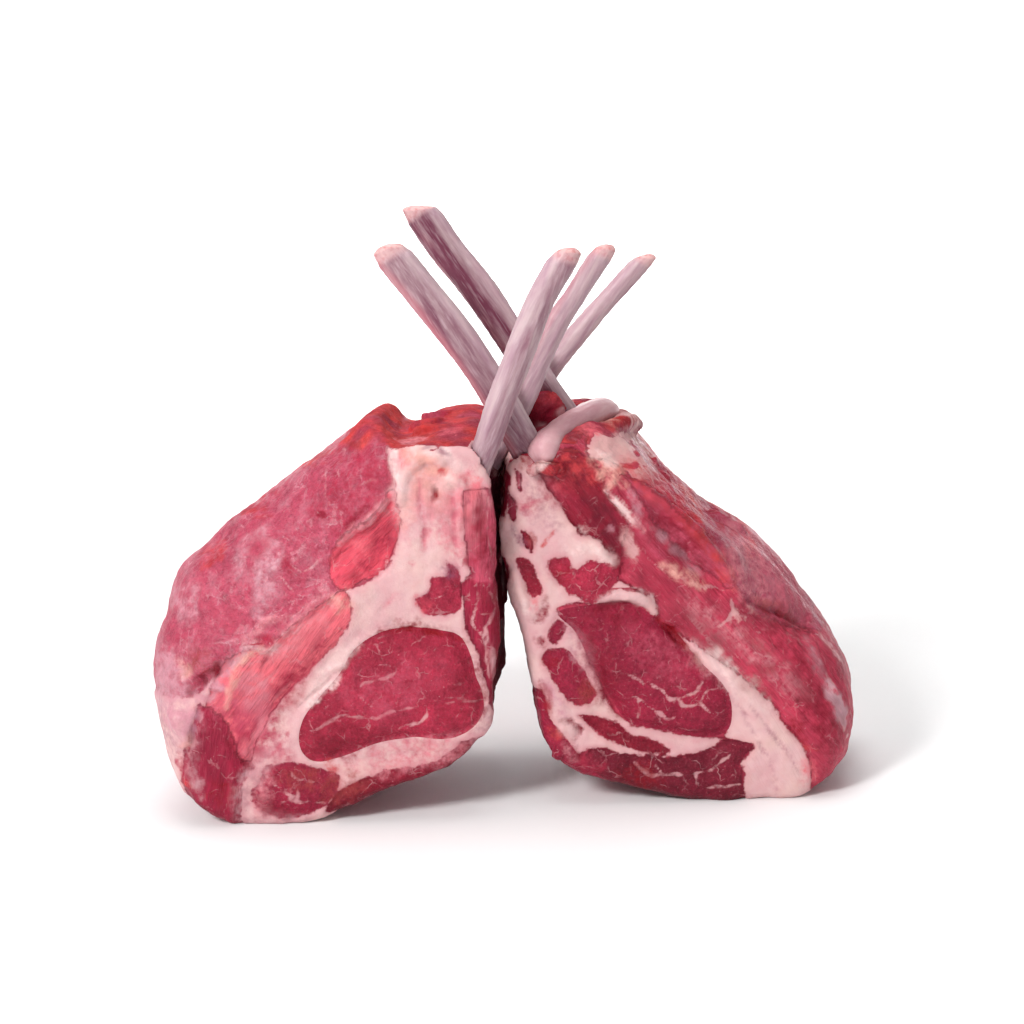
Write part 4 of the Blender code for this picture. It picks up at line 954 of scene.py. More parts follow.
def brushed(side, section, swell):
    """What the brush strokes leave at (x, z) points of a cut: tone times cover, cover, and height.
    A stroke thins out towards its ends, and where swell is low it narrows and breaks."""
    laid = np.zeros((len(section), 3))
    cover = np.zeros(len(section))
    rise = np.zeros(len(section))
    for name, share, half_width, soft, height, path in STROKES[side]:
        if is_thread(name, half_width, height):
            continue
        line = smooth_line(path, 3, False)
        width = max(half_width + 0.6 * soft, THINNEST_RIDGE)
        chosen = near(section, line, max(1.4 * half_width + 1.8 * soft, 2.5 * width))
        gap, passed, length = path_gap(section[chosen], line)
        end = np.minimum(passed, length - passed) / (0.3 * length + 0.01)
        taper = 0.25 + 0.75 * soft_step(end) if length > 3 else np.ones(len(gap))
        lively = swell[chosen]
        part = share * (0.5 + 0.5 * taper) * (0.45 + 0.7 * lively)
        part = np.clip(part, 0, 1)
        part *= 1 - soft_step((gap - half_width * taper * (0.6 + 0.8 * lively)) / (1.8 * soft))
        laid[chosen] += (linear(TONES[name]) - laid[chosen]) * part[:, None]
        cover[chosen] += (1 - cover[chosen]) * part
        slim = min(1, (half_width + 0.6 * soft) / THINNEST_RIDGE)
        rise[chosen] += height * slim * taper * (0.5 + 0.5 * lively) * np.exp(-(gap / width) ** 2)
    return laid, cover, rise


def swell_of(points):
    """How broad veins and strokes are at each point, from 0 to 1."""
    return np.clip(0.5 + 1.3 * noise_at(points, 3.4, 27.0), 0, 1)


def weights(facing):
    """How much each point belongs to the front cut, the back cut and the top."""
    front = soft_step((0.15 - facing[:, 1]) / 0.3) * (1 - soft_step((facing[:, 2] - 0.75) / 0.2))
    back = soft_step((facing[:, 1] - 0.5) / 0.25)
    top = soft_step((facing[:, 2] - 0.75) / 0.2)
    return front, back, top


def weights_with_top(side, points, facing):
    """The same, but the torn top also takes what lies above the cuts, behind their upper edge."""
    front, back, top = weights(facing)
    high = soft_step((points[:, 2] - TOP_LEVEL) / 3) * soft_step((points[:, 1] - FRONT[side] - 10) / 4)
    return front * (1 - high), back * (1 - high), np.maximum(top, high)


def inner_share(side, points, facing):
    """How much each point belongs to the wall that leans on the other rack, where the shade of the gap is
    painted on.
    """
    towards = facing[:, 0] * (1 if side == "left" else -1)
    close = soft_step((GAP_SHADE_REACH - np.abs(points[:, 0] - GAP_MIDDLE)) / 6)
    close *= soft_step((TOP_LEVEL - points[:, 2]) / 8)
    return soft_step((towards - 0.55) / 0.3) * soft_step((points[:, 1] - FRONT[side] - 4) / 8) * close


def vein_depth(side, flat, behind, forward, swell):
    """How deep each point lies inside a vein or thread of the cut that it belongs to."""
    vein = np.full(len(flat), -REACH)
    for half_width, path in threads(side):
        deep = np.where(forward, stroke_depth(flat, path, half_width),
                        stroke_depth(behind, path, half_width))
        vein = np.maximum(vein, deep + half_width * 1.2 * (swell - 0.75))
    return vein


def stained(side, points, tone, cover, swell):
    """Adds the stains to the tones and the cover that the strokes have laid."""
    for centre, reach, share, name in STAINS[side]:
        away = np.linalg.norm(points - centre, axis=1) * (0.7 + 0.6 * swell)
        spot = share * (1 - soft_step((away - 0.4 * reach) / (0.6 * reach)))
        tone = tone * (1 - spot)[:, None] + linear(TONES[name]) * spot[:, None]
        cover = cover * (1 - spot) + spot
    return tone, cover


def tissue_fields(side, points, facing, only_eye):
    """Everything the material reads, at every point."""
    front, back, top = weights_with_top(side, points, facing)
    wall = np.clip(1 - front - back, 0, 1)
    inner = inner_share(side, points, facing)
    forward = front > back
    swell = swell_of(points)
    wander = warped(points)
    flat = points[:, [0, 2]]
    behind = in_section(points, side) + 2 * wander
    ahead = painted(side, flat + wander, only_eye)
    rear = painted(side, behind, only_eye)

    outer_fat = OUTER_FAT[side] + OUTER_FAT_SWING * noise_at(points * (1, 0.4, 1), 14.0, 21.0)
    fat = front * ahead["fat"] + back * rear["fat"] + wall * (outer_fat - TOP_FAT_LOSS * top)
    lean, pale = (front[:, None] * ahead[key] + back[:, None] * rear[key]
                  + wall[:, None] * linear(TONES[tone])
                  for key, tone in (("lean", OUTER_TONE[side]), ("pale", "fat_warm")))
    if not only_eye:
        warm = np.clip(0.5 + 1.4 * noise_at(points, 7.0, 41.0), 0, 1)[:, None]
        torn = linear(TONES["top"]) * (1 - warm) + linear(TONES["ember"]) * warm
        lean = lean + (torn - lean) * top[:, None]
    skin = np.clip(1 - front * ahead["cover"] - back * rear["cover"], 0, 1) * (1 - 0.8 * top)
    skin *= SKIN_SHARE[side]

    # Fibre patterns are drawn out along their direction, by squeezing the place they are read at.
    share = np.where(forward, ahead["fibrous"], rear["fibrous"]) * soft_step(2 * np.maximum(front, back))
    angle = np.radians(np.where(forward, ahead["angle"], rear["angle"]))
    way = np.column_stack([np.cos(angle), np.zeros(len(angle)), np.sin(angle)])
    along = np.sum(points * way, axis=1)
    fibre = points - way * (along * share * 0.85)[:, None]

    vein = vein_depth(side, flat + 1.2 * wander, behind, forward, swell)
    vein = np.where(wall > 0.5, -REACH, vein)

    tone, cover, _ = brushed(side, flat + 0.8 * wander, swell)
    rear_tone, rear_cover, _ = brushed(side, behind, swell)
    # The walls between the racks get a dark tone: painted shade of the narrow gap between them.
    part = np.where(forward, soft_step(front * 2), back) * (1 - inner)
    tone = np.where(forward[:, None], tone, rear_tone) * part[:, None]
    tone = tone + linear(TONES["inner"]) * GAP_SHADE_COVER * inner[:, None]
    cover = np.where(forward, cover, rear_cover) * part + GAP_SHADE_COVER * inner
    tone, cover = stained(side, points, tone, cover, swell)
    return {"fat": fat, "vein": vein, "marble": (front + back) * (1 - skin), "skin": skin * (1 - inner),
            "torn": np.maximum(inner, top), "stroke": cover, "lean_tone": lean, "fat_tone": pale,
            "stroke_tone": tone, "fibre": fibre}


def store(mesh, fields):
    """Writes each field to the mesh: tones as colours, directions as vectors, the rest as numbers."""
    for name, values in fields.items():
        if name.endswith("tone"):
            layer = mesh.attributes.new(name, "FLOAT_COLOR", "POINT")
            layer.data.foreach_set("color", np.column_stack([values, np.ones(len(values))]).ravel())
        elif values.ndim == 2:
            mesh.attributes.new(name, "FLOAT_VECTOR", "POINT").data.foreach_set("vector", values.ravel())
        else:
            mesh.attributes.new(name, "FLOAT", "POINT").data.foreach_set("value", values)


def add_relief(mesh, side, strength):
    """Moves the fine surface along its facing: fat stands proud, muscles swell, strokes rise or sink."""
    points, facing = points_of(mesh), facing_of(mesh)
    front, back, _ = weights(facing)
    flat = points[:, [0, 2]]
    behind = in_section(points, side)
    rise = np.zeros(len(points))
    for section, share in ((flat + warped(points), front), (behind, back)):
        fat = painted(side, section, False)["fat"]
        eye = outline_depth(section, EYE[side])
        fat = np.where(eye > 0, -eye, np.minimum(fat, -eye))
        rise += share * (FAT_RISE * soft_step(fat / 1.6 + 0.5) + MUSCLE_RISE * soft_step((-fat - 0.8) / 3.6))
    swell = swell_of(points)
    rise += (FRONT_STROKES * front * brushed(side, flat, swell)[2]
             + BACK_STROKES * back * brushed(side, behind, swell)[2])
    for half_width, path in VEINS[side]:
        gap = half_width - stroke_depth(flat, path, half_width)
        rise -= front * 0.3 * np.exp(-(gap / (half_width + 0.5)) ** 2)
    for size, height in RELIEF_WAVES:
        rise += strength * height * noise_at(points, size, size)
    points = points + facing * rise[:, None]
    points[:, 2] = np.maximum(points[:, 2], 0)
    # The last millimetre towards the furthest front is squeezed, so that nothing stands out past it.
    limit = CAD_BOX[0][1] / MM - DRAWING_ZERO[1] - FURTHEST_OUT
    past = np.maximum(limit + 1 - points[:, 1], 0)
    points[:, 1] += past - (1 - np.exp(-past))
    place_points(mesh, points)


def eye_core(side):
    """The eye muscle's outline run through the whole rack, as a cutter."""
    shape = bmesh.new()
    lean = math.tan(math.radians(TURN[side]))
    line = smooth_line(EYE[side], 6, True)
    rows = []
    for y in (FRONT[side] - 20, BACK[side] + 20):
        row = []
        for x, z in line:
            point = (np.array((x + (y - FRONT[side]) * lean, y, z)) + DRAWING_ZERO) * MM
            row.append(shape.verts.new(point))
        rows.append(row)
    for i in range(len(line)):
        j = (i + 1) % len(line)
        shape.faces.new((rows[0][i], rows[0][j], rows[1][j], rows[1][i]))
    shape.faces.new(rows[0])
    shape.faces.new(list(reversed(rows[1])))
    bmesh.ops.recalc_face_normals(shape, faces=shape.faces)
    return new_piece(side + "_eye_core", as_mesh(shape, side + "_eye_core"))


def split(piece, cutter, operation):
    """Keeps what the operation leaves of a piece."""
    cut = piece.modifiers.new("cut", "BOOLEAN")
    cut.operation = operation
    cut.solver = "MANIFOLD"
    cut.object = cutter
    return bake_modifiers(piece)


def facing_lookup(mesh):
    """Finds the smooth facing of the whole body at any point."""
    points, facing = points_of(mesh), facing_of(mesh)
    tree = kdtree.KDTree(len(points))
    for i, point in enumerate(points):
        tree.insert(point, i)
    tree.balance()
    return lambda wanted: facing[[tree.find(p)[1] for p in wanted]]


def put(tree, kind, inputs=None, output=None, **settings):
    """Adds a node with its settings, values and links, and gives the output asked for or its first one."""
    made = tree.nodes.new(kind)
    for name, value in settings.items():
        setattr(made, name, value)
    for key, value in (inputs or {}).items():
        if isinstance(key, int):
            socket = made.inputs[key]
        else:
            socket = next(s for s in made.inputs if s.enabled and s.name == key)
        if isinstance(value, bpy.types.NodeSocket):
            tree.links.new(value, socket)
        else:
            socket.default_value = value
    if output:
        return made.outputs[output]
    return next((s for s in made.outputs if s.enabled), made)


def rgba(code):
    """An sRGB hex colour as a colour socket takes it."""
    return (*linear(code), 1.0)


def new_material(name, values):
    """A material with these values on its shader; also gives its node tree and the shader."""
    material = bpy.data.materials.new(name)
    material.use_nodes = True
    shader = material.node_tree.nodes["Principled BSDF"]
    for key, value in values.items():
        shader.inputs[key].default_value = value
    return material, material.node_tree, shader


def tinted(tree, colour, layers):
    """Lays tones over a colour: each one where its value runs from start to end, up to its largest share,
    and only within its masks."""
    for value, start, end, most, tone, *masks in layers:
        share = put(tree, "ShaderNodeMapRange",
                    {"Value": value, "From Min": start, "From Max": end, "To Max": most})
        for mask in masks:
            share = put(tree, "ShaderNodeMath", {0: share, 1: mask}, operation="MULTIPLY")
        colour = put(tree, "ShaderNodeMix", {"Factor": share, "A": colour, "B": rgba(tone)},
                     data_type="RGBA")
    return colour


def flesh_surface(tree, shader, field, fat_share, ragged, streak, bundle, wetness):
    """How wet raw flesh is, and its fine grain."""
    rough = put(tree, "ShaderNodeMapRange", {"Value": ragged, "From Min": 0.3, "From Max": 0.7,
                                              "To Min": 0.34, "To Max": 0.52})
    # The torn tops and the walls between the racks are rough and give back little light.
    rough = put(tree, "ShaderNodeMath", {0: field["torn"], 1: 0.6, 2: rough}, operation="MULTIPLY_ADD",
                use_clamp=True)
    tree.links.new(rough, shader.inputs["Roughness"])
    wet = put(tree, "ShaderNodeMath", {0: field["torn"], 1: -wetness, 2: wetness}, operation="MULTIPLY_ADD")
    tree.links.new(wet, shader.inputs["Coat Weight"])
    height = put(tree, "ShaderNodeMath", {0: streak, 1: bundle}, operation="ADD")
    # Fat is smoother than lean.
    depth = put(tree, "ShaderNodeMath", {0: fat_share, 1: -0.55, 2: 0.85}, operation="MULTIPLY_ADD")
    bump = put(tree, "ShaderNodeBump", {"Height": height, "Strength": depth, "Distance": 0.6 * MM})
    tree.links.new(bump, shader.inputs["Normal"])


def raw_flesh(name, wetness):
    """Raw lamb flesh, cut with a wet knife: dark red fibres, pink-white fat and a thin shining skin outside.
    Lean soaks up light and looks deep, fat scatters it and looks milky, and both carry a wet film."""
    material, tree, shader = new_material(name, {
        "IOR": 1.4, "Specular IOR Level": 0.16, "Subsurface Weight": 0.12,
        "Subsurface Radius": (1.0, 0.35, 0.25), "Subsurface Scale": 2.0 * MM, "Coat Roughness": 0.15})
    where = put(tree, "ShaderNodeTexCoord", output="Object")
    place = put(tree, "ShaderNodeVectorMath", {0: where, "Scale": 1 / MM}, operation="SCALE")
    field = {key: put(tree, "ShaderNodeAttribute", output="Fac", attribute_name=key)
             for key in ("fat", "vein", "marble", "skin", "torn", "stroke")}
    lean, pale, brushed_tone = (put(tree, "ShaderNodeAttribute", output="Color", attribute_name=key)
                                for key in ("lean_tone", "fat_tone", "stroke_tone"))
    fibre = put(tree, "ShaderNodeAttribute", output="Vector", attribute_name="fibre")

    # Ragged edges: waves of 1.6 mm and 5 mm move each border between lean and fat.
    ragged = put(tree, "ShaderNodeTexNoise", {"Vector": place, "Scale": 1 / 1.6, "Detail": 4.0})
    broad = put(tree, "ShaderNodeTexNoise", {"Vector": place, "Scale": 1 / 5.0, "Detail": 3.0})
    patch = put(tree, "ShaderNodeTexNoise", {"Vector": place, "Scale": 1 / 12.0, "Detail": 3.0})
    edge = put(tree, "ShaderNodeMath", {0: ragged, 1: 2.0, 2: -1.0}, operation="MULTIPLY_ADD")
    edge = put(tree, "ShaderNodeMath", {0: broad, 1: 2.0, 2: edge}, operation="MULTIPLY_ADD")
    edge = put(tree, "ShaderNodeMath", {0: edge, 1: -1.0}, operation="ADD")
    fat_edge = put(tree, "ShaderNodeMath", {0: field["fat"], 1: edge}, operation="ADD")
    fat_share = put(tree, "ShaderNodeMapRange", {"Value": fat_edge, "From Min": -0.4, "From Max": 0.45},
                    interpolation_type="SMOOTHSTEP")
    vein_edge = put(tree, "ShaderNodeMath", {0: edge, 1: 0.55, 2: field["vein"]}, operation="MULTIPLY_ADD")
    vein_share = put(tree, "ShaderNodeMapRange", {"Value": vein_edge, "From Min": -0.4, "From Max": 0.4,
                                                   "To Max": 0.74}, interpolation_type="SMOOTHSTEP")
    # Marbling: a net of fine fat lines with cells of 7 mm, bent by slow waves and broken here and there.
    bend = put(tree, "ShaderNodeTexNoise", {"Vector": place, "Scale": 1 / 4.0, "Detail": 2.0}, output="Color")
    bent = put(tree, "ShaderNodeVectorMath", {0: bend, 1: (5.0, 5.0, 5.0), 2: place},
               operation="MULTIPLY_ADD")
    net = put(tree, "ShaderNodeTexVoronoi", {"Vector": bent, "Scale": 1 / 7.0}, feature="DISTANCE_TO_EDGE")
    net = put(tree, "ShaderNodeMapRange", {"Value": net, "From Min": 0.045, "From Max": 0.01, "To Max": 0.38},
              interpolation_type="SMOOTHSTEP")
    broken = put(tree, "ShaderNodeMapRange", {"Value": broad, "From Min": 0.5, "From Max": 0.66})
    for mask in (broken, field["marble"]):
        net = put(tree, "ShaderNodeMath", {0: net, 1: mask}, operation="MULTIPLY")
    for share in (vein_share, net):
        fat_share = put(tree, "ShaderNodeMath", {0: fat_share, 1: share}, operation="MAXIMUM")

    # Lean: bundles of fibres about 2 mm across, drawn at their real size, with pale flecks of half a
    # millimetre that are partly fat and partly painted glints of the wet surface.
    # It is painted darker where it dips against the fat, as shade in that hollow.
    bundle = put(tree, "ShaderNodeTexNoise", {"Vector": fibre, "Scale": 1 / 2.4, "Detail": 6.0,
                                              "Roughness": 0.66})
    value = put(tree, "ShaderNodeMapRange", {"Value": bundle, "From Min": 0.3, "From Max": 0.7,
                                              "To Min": 0.72, "To Max": 1.22})
    mottle = put(tree, "ShaderNodeMapRange", {"Value": patch, "From Min": 0.3, "From Max": 0.7,
                                               "To Min": 0.76, "To Max": 1.2})
    grainy = put(tree, "ShaderNodeMath", {0: value, 1: mottle}, operation="MULTIPLY")
    red = put(tree, "ShaderNodeHueSaturation", {"Color": lean, "Value": grainy})
    streak = put(tree, "ShaderNodeTexNoise", {"Vector": fibre, "Scale": 1 / 0.9, "Detail": 3.0})
    fleck_and_glint = put(tree, "ShaderNodeTexNoise", {"Vector": place, "Scale": 1 / 0.8, "Detail": 1.0})
    red = tinted(tree, red, (
        (streak, 0.54, 0.8, 0.2, "cf6a78"), (streak, 0.46, 0.26, 0.34, "5e1020"),
        (fleck_and_glint, 0.69, 0.82, 0.3, "e2a6aa"), (fat_edge, -1.6, -0.3, 0.3, "6a1426")))

    # Fat: milky, with a pink blush in patches of 3 mm, warm and dusky patches of 12 mm, and pinker where it
    # borders on lean.
    blush = put(tree, "ShaderNodeTexNoise", {"Vector": place, "Scale": 1 / 3.2, "Detail": 5.0})
    white = tinted(tree, pale, (
        (blush, 0.45, 0.8, 0.4, "cf9096"), (patch, 0.45, 0.7, 0.35, "e2c0b2"),
        (patch, 0.52, 0.3, 0.42, "cb8a92"), (fat_edge, 2.2, 0.2, 0.42, "c87c86")))
    flesh = put(tree, "ShaderNodeMix", {"Factor": fat_share, "A": red, "B": white}, data_type="RGBA")

    # Outer skin: a thin lilac-white sheet in patches over deep red, with faint lines along it.
    cloud = put(tree, "ShaderNodeTexNoise", {"Vector": bent, "Scale": 1 / 7.0, "Detail": 6.0,
                                             "Roughness": 0.7})
    thread = put(tree, "ShaderNodeTexVoronoi", {"Vector": bent, "Scale": 1 / 4.0}, feature="DISTANCE_TO_EDGE")
    flesh = tinted(tree, flesh, (
        (patch, 0.5, 0.7, 0.55, "982c42", field["skin"]), (cloud, 0.47, 0.74, 0.5, "cb8c9a", field["skin"]),
        (thread, 0.07, 0.0, 0.3, "e0b4bf", field["skin"], broken)))

    # Strokes keep the grain of what lies under them, and their borders are ragged too.
    rest = put(tree, "ShaderNodeMath", {0: 1.0, 1: field["stroke"]}, operation="SUBTRACT")
    rest = put(tree, "ShaderNodeMath", {0: rest, 1: field["stroke"]}, operation="MULTIPLY")
    swing = put(tree, "ShaderNodeMath", {0: ragged, 1: 7.0, 2: -3.5}, operation="MULTIPLY_ADD")
    laid = put(tree, "ShaderNodeMath", {0: rest, 1: swing, 2: field["stroke"]}, operation="MULTIPLY_ADD",
               use_clamp=True)
    lively = put(tree, "ShaderNodeMapRange", {"Value": bundle, "From Min": 0.3, "From Max": 0.7,
                                               "To Min": 0.84, "To Max": 1.12})
    # The stored tone is multiplied by its cover, so it is divided by it again.
    covered = put(tree, "ShaderNodeMath", {0: field["stroke"], 1: 0.001}, operation="ADD")
    covered = put(tree, "ShaderNodeMath", {0: 1.0, 1: covered}, operation="DIVIDE")
    whole = put(tree, "ShaderNodeVectorMath", {0: brushed_tone, "Scale": covered}, operation="SCALE")
    tint = put(tree, "ShaderNodeHueSaturation", {"Color": whole, "Value": lively})
    flesh = put(tree, "ShaderNodeMix", {"Factor": laid, "A": flesh, "B": tint}, data_type="RGBA")
    tree.links.new(flesh, shader.inputs["Base Color"])
    flesh_surface(tree, shader, field, fat_share, ragged, streak, bundle, wetness)
    return material


def scraped_bone(name, colour, worn_tone):
    """Rib bone scraped bare with a knife: ivory under a damp film, with red marrow at the sawn end.
    The film is thin and lilac over the bone, dark purple where blood stayed under it, and pink along one
    edge. Its dark purple also stands in for shade: it is painted shade along one side of the bone and at its
    root."""
    material, tree, shader = new_material(name, {
        "Roughness": 0.45, "IOR": 1.5, "Specular IOR Level": 0.25, "Subsurface Weight": 0.1,
        "Subsurface Radius": (1.0, 0.5, 0.4), "Subsurface Scale": 1.5 * MM, "Coat Weight": 0.08,
        "Coat Roughness": 0.2})
    grain = put(tree, "ShaderNodeAttribute", output="Vector", attribute_name="grain")
    field = {key: put(tree, "ShaderNodeAttribute", output="Fac", attribute_name=key)
             for key in ("film_and_shade", "edge", "tip")}
    streak = put(tree, "ShaderNodeTexNoise", {"Vector": grain, "Scale": 1 / 2.6, "Detail": 5.0,
                                              "Roughness": 0.62})
    wave = put(tree, "ShaderNodeMath", {0: streak, 1: 2.6, 2: -0.85}, operation="MULTIPLY_ADD",
               use_clamp=True)
    bone = put(tree, "ShaderNodeMix", {"Factor": wave, "A": (*colour, 1.0), "B": rgba(worn_tone)},
               data_type="RGBA")
    edge = put(tree, "ShaderNodeMath", {0: wave, 1: 0.4, 2: 0.55}, operation="MULTIPLY_ADD")
    edge = put(tree, "ShaderNodeMath", {0: edge, 1: field["edge"]}, operation="MULTIPLY")
    film_and_shade = put(tree, "ShaderNodeMath", {0: wave, 1: 0.75, 2: 0.4}, operation="MULTIPLY_ADD")
    film_and_shade = put(tree, "ShaderNodeMath", {0: film_and_shade, 1: field["film_and_shade"]}, operation="MULTIPLY", use_clamp=True)
    for share, tone in ((edge, "bb5f6c"), (film_and_shade, "6e3448")):
        bone = put(tree, "ShaderNodeMix", {"Factor": share, "A": bone, "B": rgba(tone)}, data_type="RGBA")
    fine = put(tree, "ShaderNodeTexNoise", {"Vector": grain, "Scale": 1 / 0.9, "Detail": 2.0})
    bone = tinted(tree, bone, [(fine, 0.52, 0.78, 0.3, "dcc2c8")])
    # Marrow: red pores of about a millimetre in the pink sawn face.
    place = put(tree, "ShaderNodeTexCoord", output="Object")
    pore = put(tree, "ShaderNodeTexNoise", {"Vector": place, "Scale": 1 / (1.6 * MM), "Detail": 3.0})
    pore = put(tree, "ShaderNodeMapRange", {"Value": pore, "From Min": 0.34, "From Max": 0.56})
    sawn = put(tree, "ShaderNodeMix", {"Factor": pore, "A": rgba("cc8484"), "B": rgba("dcaeac")},
               data_type="RGBA")
    bone = put(tree, "ShaderNodeMix", {"Factor": field["tip"], "A": bone, "B": sawn}, data_type="RGBA")
    tree.links.new(bone, shader.inputs["Base Color"])
    height = put(tree, "ShaderNodeMath", {0: fine, 1: streak}, operation="ADD")
    bump = put(tree, "ShaderNodeBump", {"Height": height, "Strength": 0.45, "Distance": 0.4 * MM})
    tree.links.new(bump, shader.inputs["Normal"])
    return material


def dress(piece, material, slot, *nodes):
    """Gives a piece its material and puts it in the place of its nodes."""
    piece.data.materials.clear()
    piece.data.materials.append(material)
    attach(piece, "root")
    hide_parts(*nodes)


def build_flesh(side, settings, meat_look, eye_look):
    """One rack's fine flesh, split into the meat and the eye muscle that runs through it."""
    body = rough_flesh(side)
    add_lobes(body, side)
    mesh = remesh(body, settings.grain, 2)
    add_relief(mesh, side, settings.relief)
    facing_at = facing_lookup(mesh)
    core = eye_core(side)
    eye = body.copy()
    eye.data = body.data.copy()
    bpy.context.scene.collection.objects.link(eye)
    body.name, eye.name = side + "_meat_cut", side + "_eye_muscle"
    split(body, core, "DIFFERENCE")
    split(eye, core, "INTERSECT")
    bpy.data.objects.remove(core)
    for piece, only_eye in ((body, False), (eye, True)):
        points = points_of(piece.data)
        store(piece.data, tissue_fields(side, points, facing_at(points), only_eye))
        piece.data.shade_smooth()
        piece.data.set_sharp_from_angle(angle=math.radians(60))
    dress(body, meat_look, "red_meat", side + "_meat")
    dress(eye, eye_look, "loin_muscle", side + "_loin_eye")


# Where the dark film lies across each bone, seen from the front, from -1 at its left edge to 1 at its right
# one: middle, half width, strength, and strength of the pink along the left edge. The dark band is partly
# blood under the film and partly painted shade along one side of the bone.
BONE_FILM_AND_SHADE = {
    "left_rib_1": (0.35, 0.7, 0.62, 0.0),
    "left_rib_2": (0.1, 0.8, 0.22, 0.45),
    "left_rib_3": (0.35, 0.6, 0.25, 0.1),
    "right_rib_1": (-0.1, 0.65, 0.85, 0.9),
    "right_rib_2": (-0.35, 0.95, 1.15, 0.6),
    "right_blade_cartilage": (0.8, 0.5, 0.2, 0.1),
}
# How far the sawn rim of a rib is rounded back, and over what length.
ROUNDED = 3.2
ROUNDED_LENGTH = 9.0
# The film is darkest at a rib's root, partly blood and partly painted shade where the rib goes into the
# flesh: its strength there, how far up it reaches, and the length over which it fades out.
ROOT_FILM_AND_SHADE = 0.75
ROOT_FILM_AND_SHADE_LENGTH = 48.0
ROOT_FILM_AND_SHADE_FADE = 34.0
# How much thicker the cartilage looks under its film than the plain bar.
FILM_ON_CARTILAGE = 1.6
# How much more it swells at its lower end, which lies broad on the muscle, and how long that end is.
BROAD_END = 1.2
BROAD_LENGTH = 12.0


def build_rib(node, settings, material, slot):
    """A rib, or the cartilage, as a fine mesh with grain along it and a rounded sawn tip."""
    piece = new_piece(node + "_fine", as_mesh(welded(node), node))
    mesh = remesh(piece, settings.grain, 8)
    points, facing = points_of(mesh), facing_of(mesh)
    middle = points.mean(axis=0)
    # The bone runs the way that its points spread most, upwards.
    way = np.linalg.svd((points - middle)[::7], full_matrices=False)[2][0]
    way = way * np.sign(way[2])
    along = (points - middle) @ way
    across = np.array((way[2], 0, -way[0]))
    aside = (points - middle) @ (across / np.linalg.norm(across))
    aside -= np.polyval(np.polyfit(along, aside, 3), along)
    aside /= np.percentile(np.abs(aside), 97)
    grain = points - way * (along * 0.88)[:, None]
    rise = 0.25 * noise_at(grain, 2.6, 4.0) + 0.12 * noise_at(points, 2.0, 8.0)
    tip = np.zeros(len(points))
    if slot == "rib_bone":
        share = soft_step((along - along.max() + ROUNDED_LENGTH) / ROUNDED_LENGTH)
        stem = points - way * along[:, None]
        off = np.linalg.norm(stem - stem[share > 0.1].mean(axis=0), axis=1)
        off /= np.percentile(off[share > 0.1], 97)
        tip = soft_step((facing @ way - 0.3) / 0.3) * soft_step(share * 3)
        tip = np.maximum(tip, 0.6 * soft_step((share - 0.2) / 0.6))
        points = points - way * (ROUNDED * share * np.minimum(off, 1.2) ** 2)[:, None]
    else:
        rise += FILM_ON_CARTILAGE + BROAD_END * soft_step((along.min() + BROAD_LENGTH - along) / 8)
    place_points(mesh, points + facing * rise[:, None])
    # The dark film is partly blood and partly painted shade, along one side and at the root.
    film_and_shade_middle, half_width, strength, pink = BONE_FILM_AND_SHADE[node]
    film_and_shade = strength * soft_step(1.4 - np.abs(aside - film_and_shade_middle) / half_width)
    root = ROOT_FILM_AND_SHADE if slot == "rib_bone" else 0.0
    root = root * soft_step((along.min() + ROOT_FILM_AND_SHADE_LENGTH - along) / ROOT_FILM_AND_SHADE_FADE)
    film_and_shade = np.maximum(film_and_shade, root) * (1 - tip)
    edge = pink * soft_step((-aside - 0.3) / 0.4)
    store(mesh, {"grain": grain, "tip": tip, "film_and_shade": film_and_shade, "edge": edge})
    mesh.shade_smooth()
    dress(piece, material, slot, node)


class LAMB_OT_flesh(bpy.types.Operator):
    """Build the meat and the eye muscle of both racks"""
    bl_idname = "lamb.flesh"
    bl_label = "Flesh"

    def execute(self, context):
        settings = context.scene.lamb_flesh
        materials = (raw_flesh("raw_lamb_cut_with_a_knife", settings.wetness),
                     raw_flesh("raw_loin_muscle_cut_across", settings.wetness))
        for side in ("left", "right"):
            build_flesh(side, settings, *materials)
        return {"FINISHED"}


class LAMB_OT_ribs(bpy.types.Operator):
    """Build the bared ribs"""
    bl_idname = "lamb.ribs"
    bl_label = "Ribs"

    def execute(self, context):
        settings = context.scene.lamb_bone
        material = scraped_bone("scraped_rib_bone", settings.colour, "b08a98")
        for node in sorted(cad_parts):
            if "_rib_" in node:
                build_rib(node, settings, material, "rib_bone")
        return {"FINISHED"}


class LAMB_OT_cartilage(bpy.types.Operator):
    """Build the bar of blade cartilage"""
    bl_idname = "lamb.cartilage"
    bl_label = "Cartilage"

    def execute(self, context):
        settings = context.scene.lamb_bone
        material = scraped_bone("trimmed_blade_cartilage", tuple(linear("d2a4a8")), "c08c94")
        build_rib("right_blade_cartilage", settings, material, "cartilage")
        return {"FINISHED"}


# The camera looks at this point of the frame, from this distance, in millimetres, and from this many degrees
# above the floor. It is turned a little about its own axis, also in degrees.
AIM = (3.11, -39.22, 107.0)
DISTANCE = 1000.0
ELEVATION = 14.0
ROLL = 1.5
# Its lens and the width of its film, in millimetres.
LENS = 106.5
FILM_WIDTH = 36.0

# The lamps, in metres, watts and degrees: place, the point they are turned to, width, power, and the angle
# that the light fans out over. The narrow one behind lights only the floor's curve.
LAMPS = {
    "overhead": ((0.0, 0.1, 1.3), (0.0, 0.0, 0.08), 0.9, 7.5, 180),
    "key": ((-0.75, -1.0, 0.95), (0.0, 0.0, 0.08), 0.4, 17.5, 180),
    "backdrop": ((0.0, 1.45, 1.5), (0.0, 1.6, 0.0), 1.2, 24.0, 80),
}
SKY = 0.42

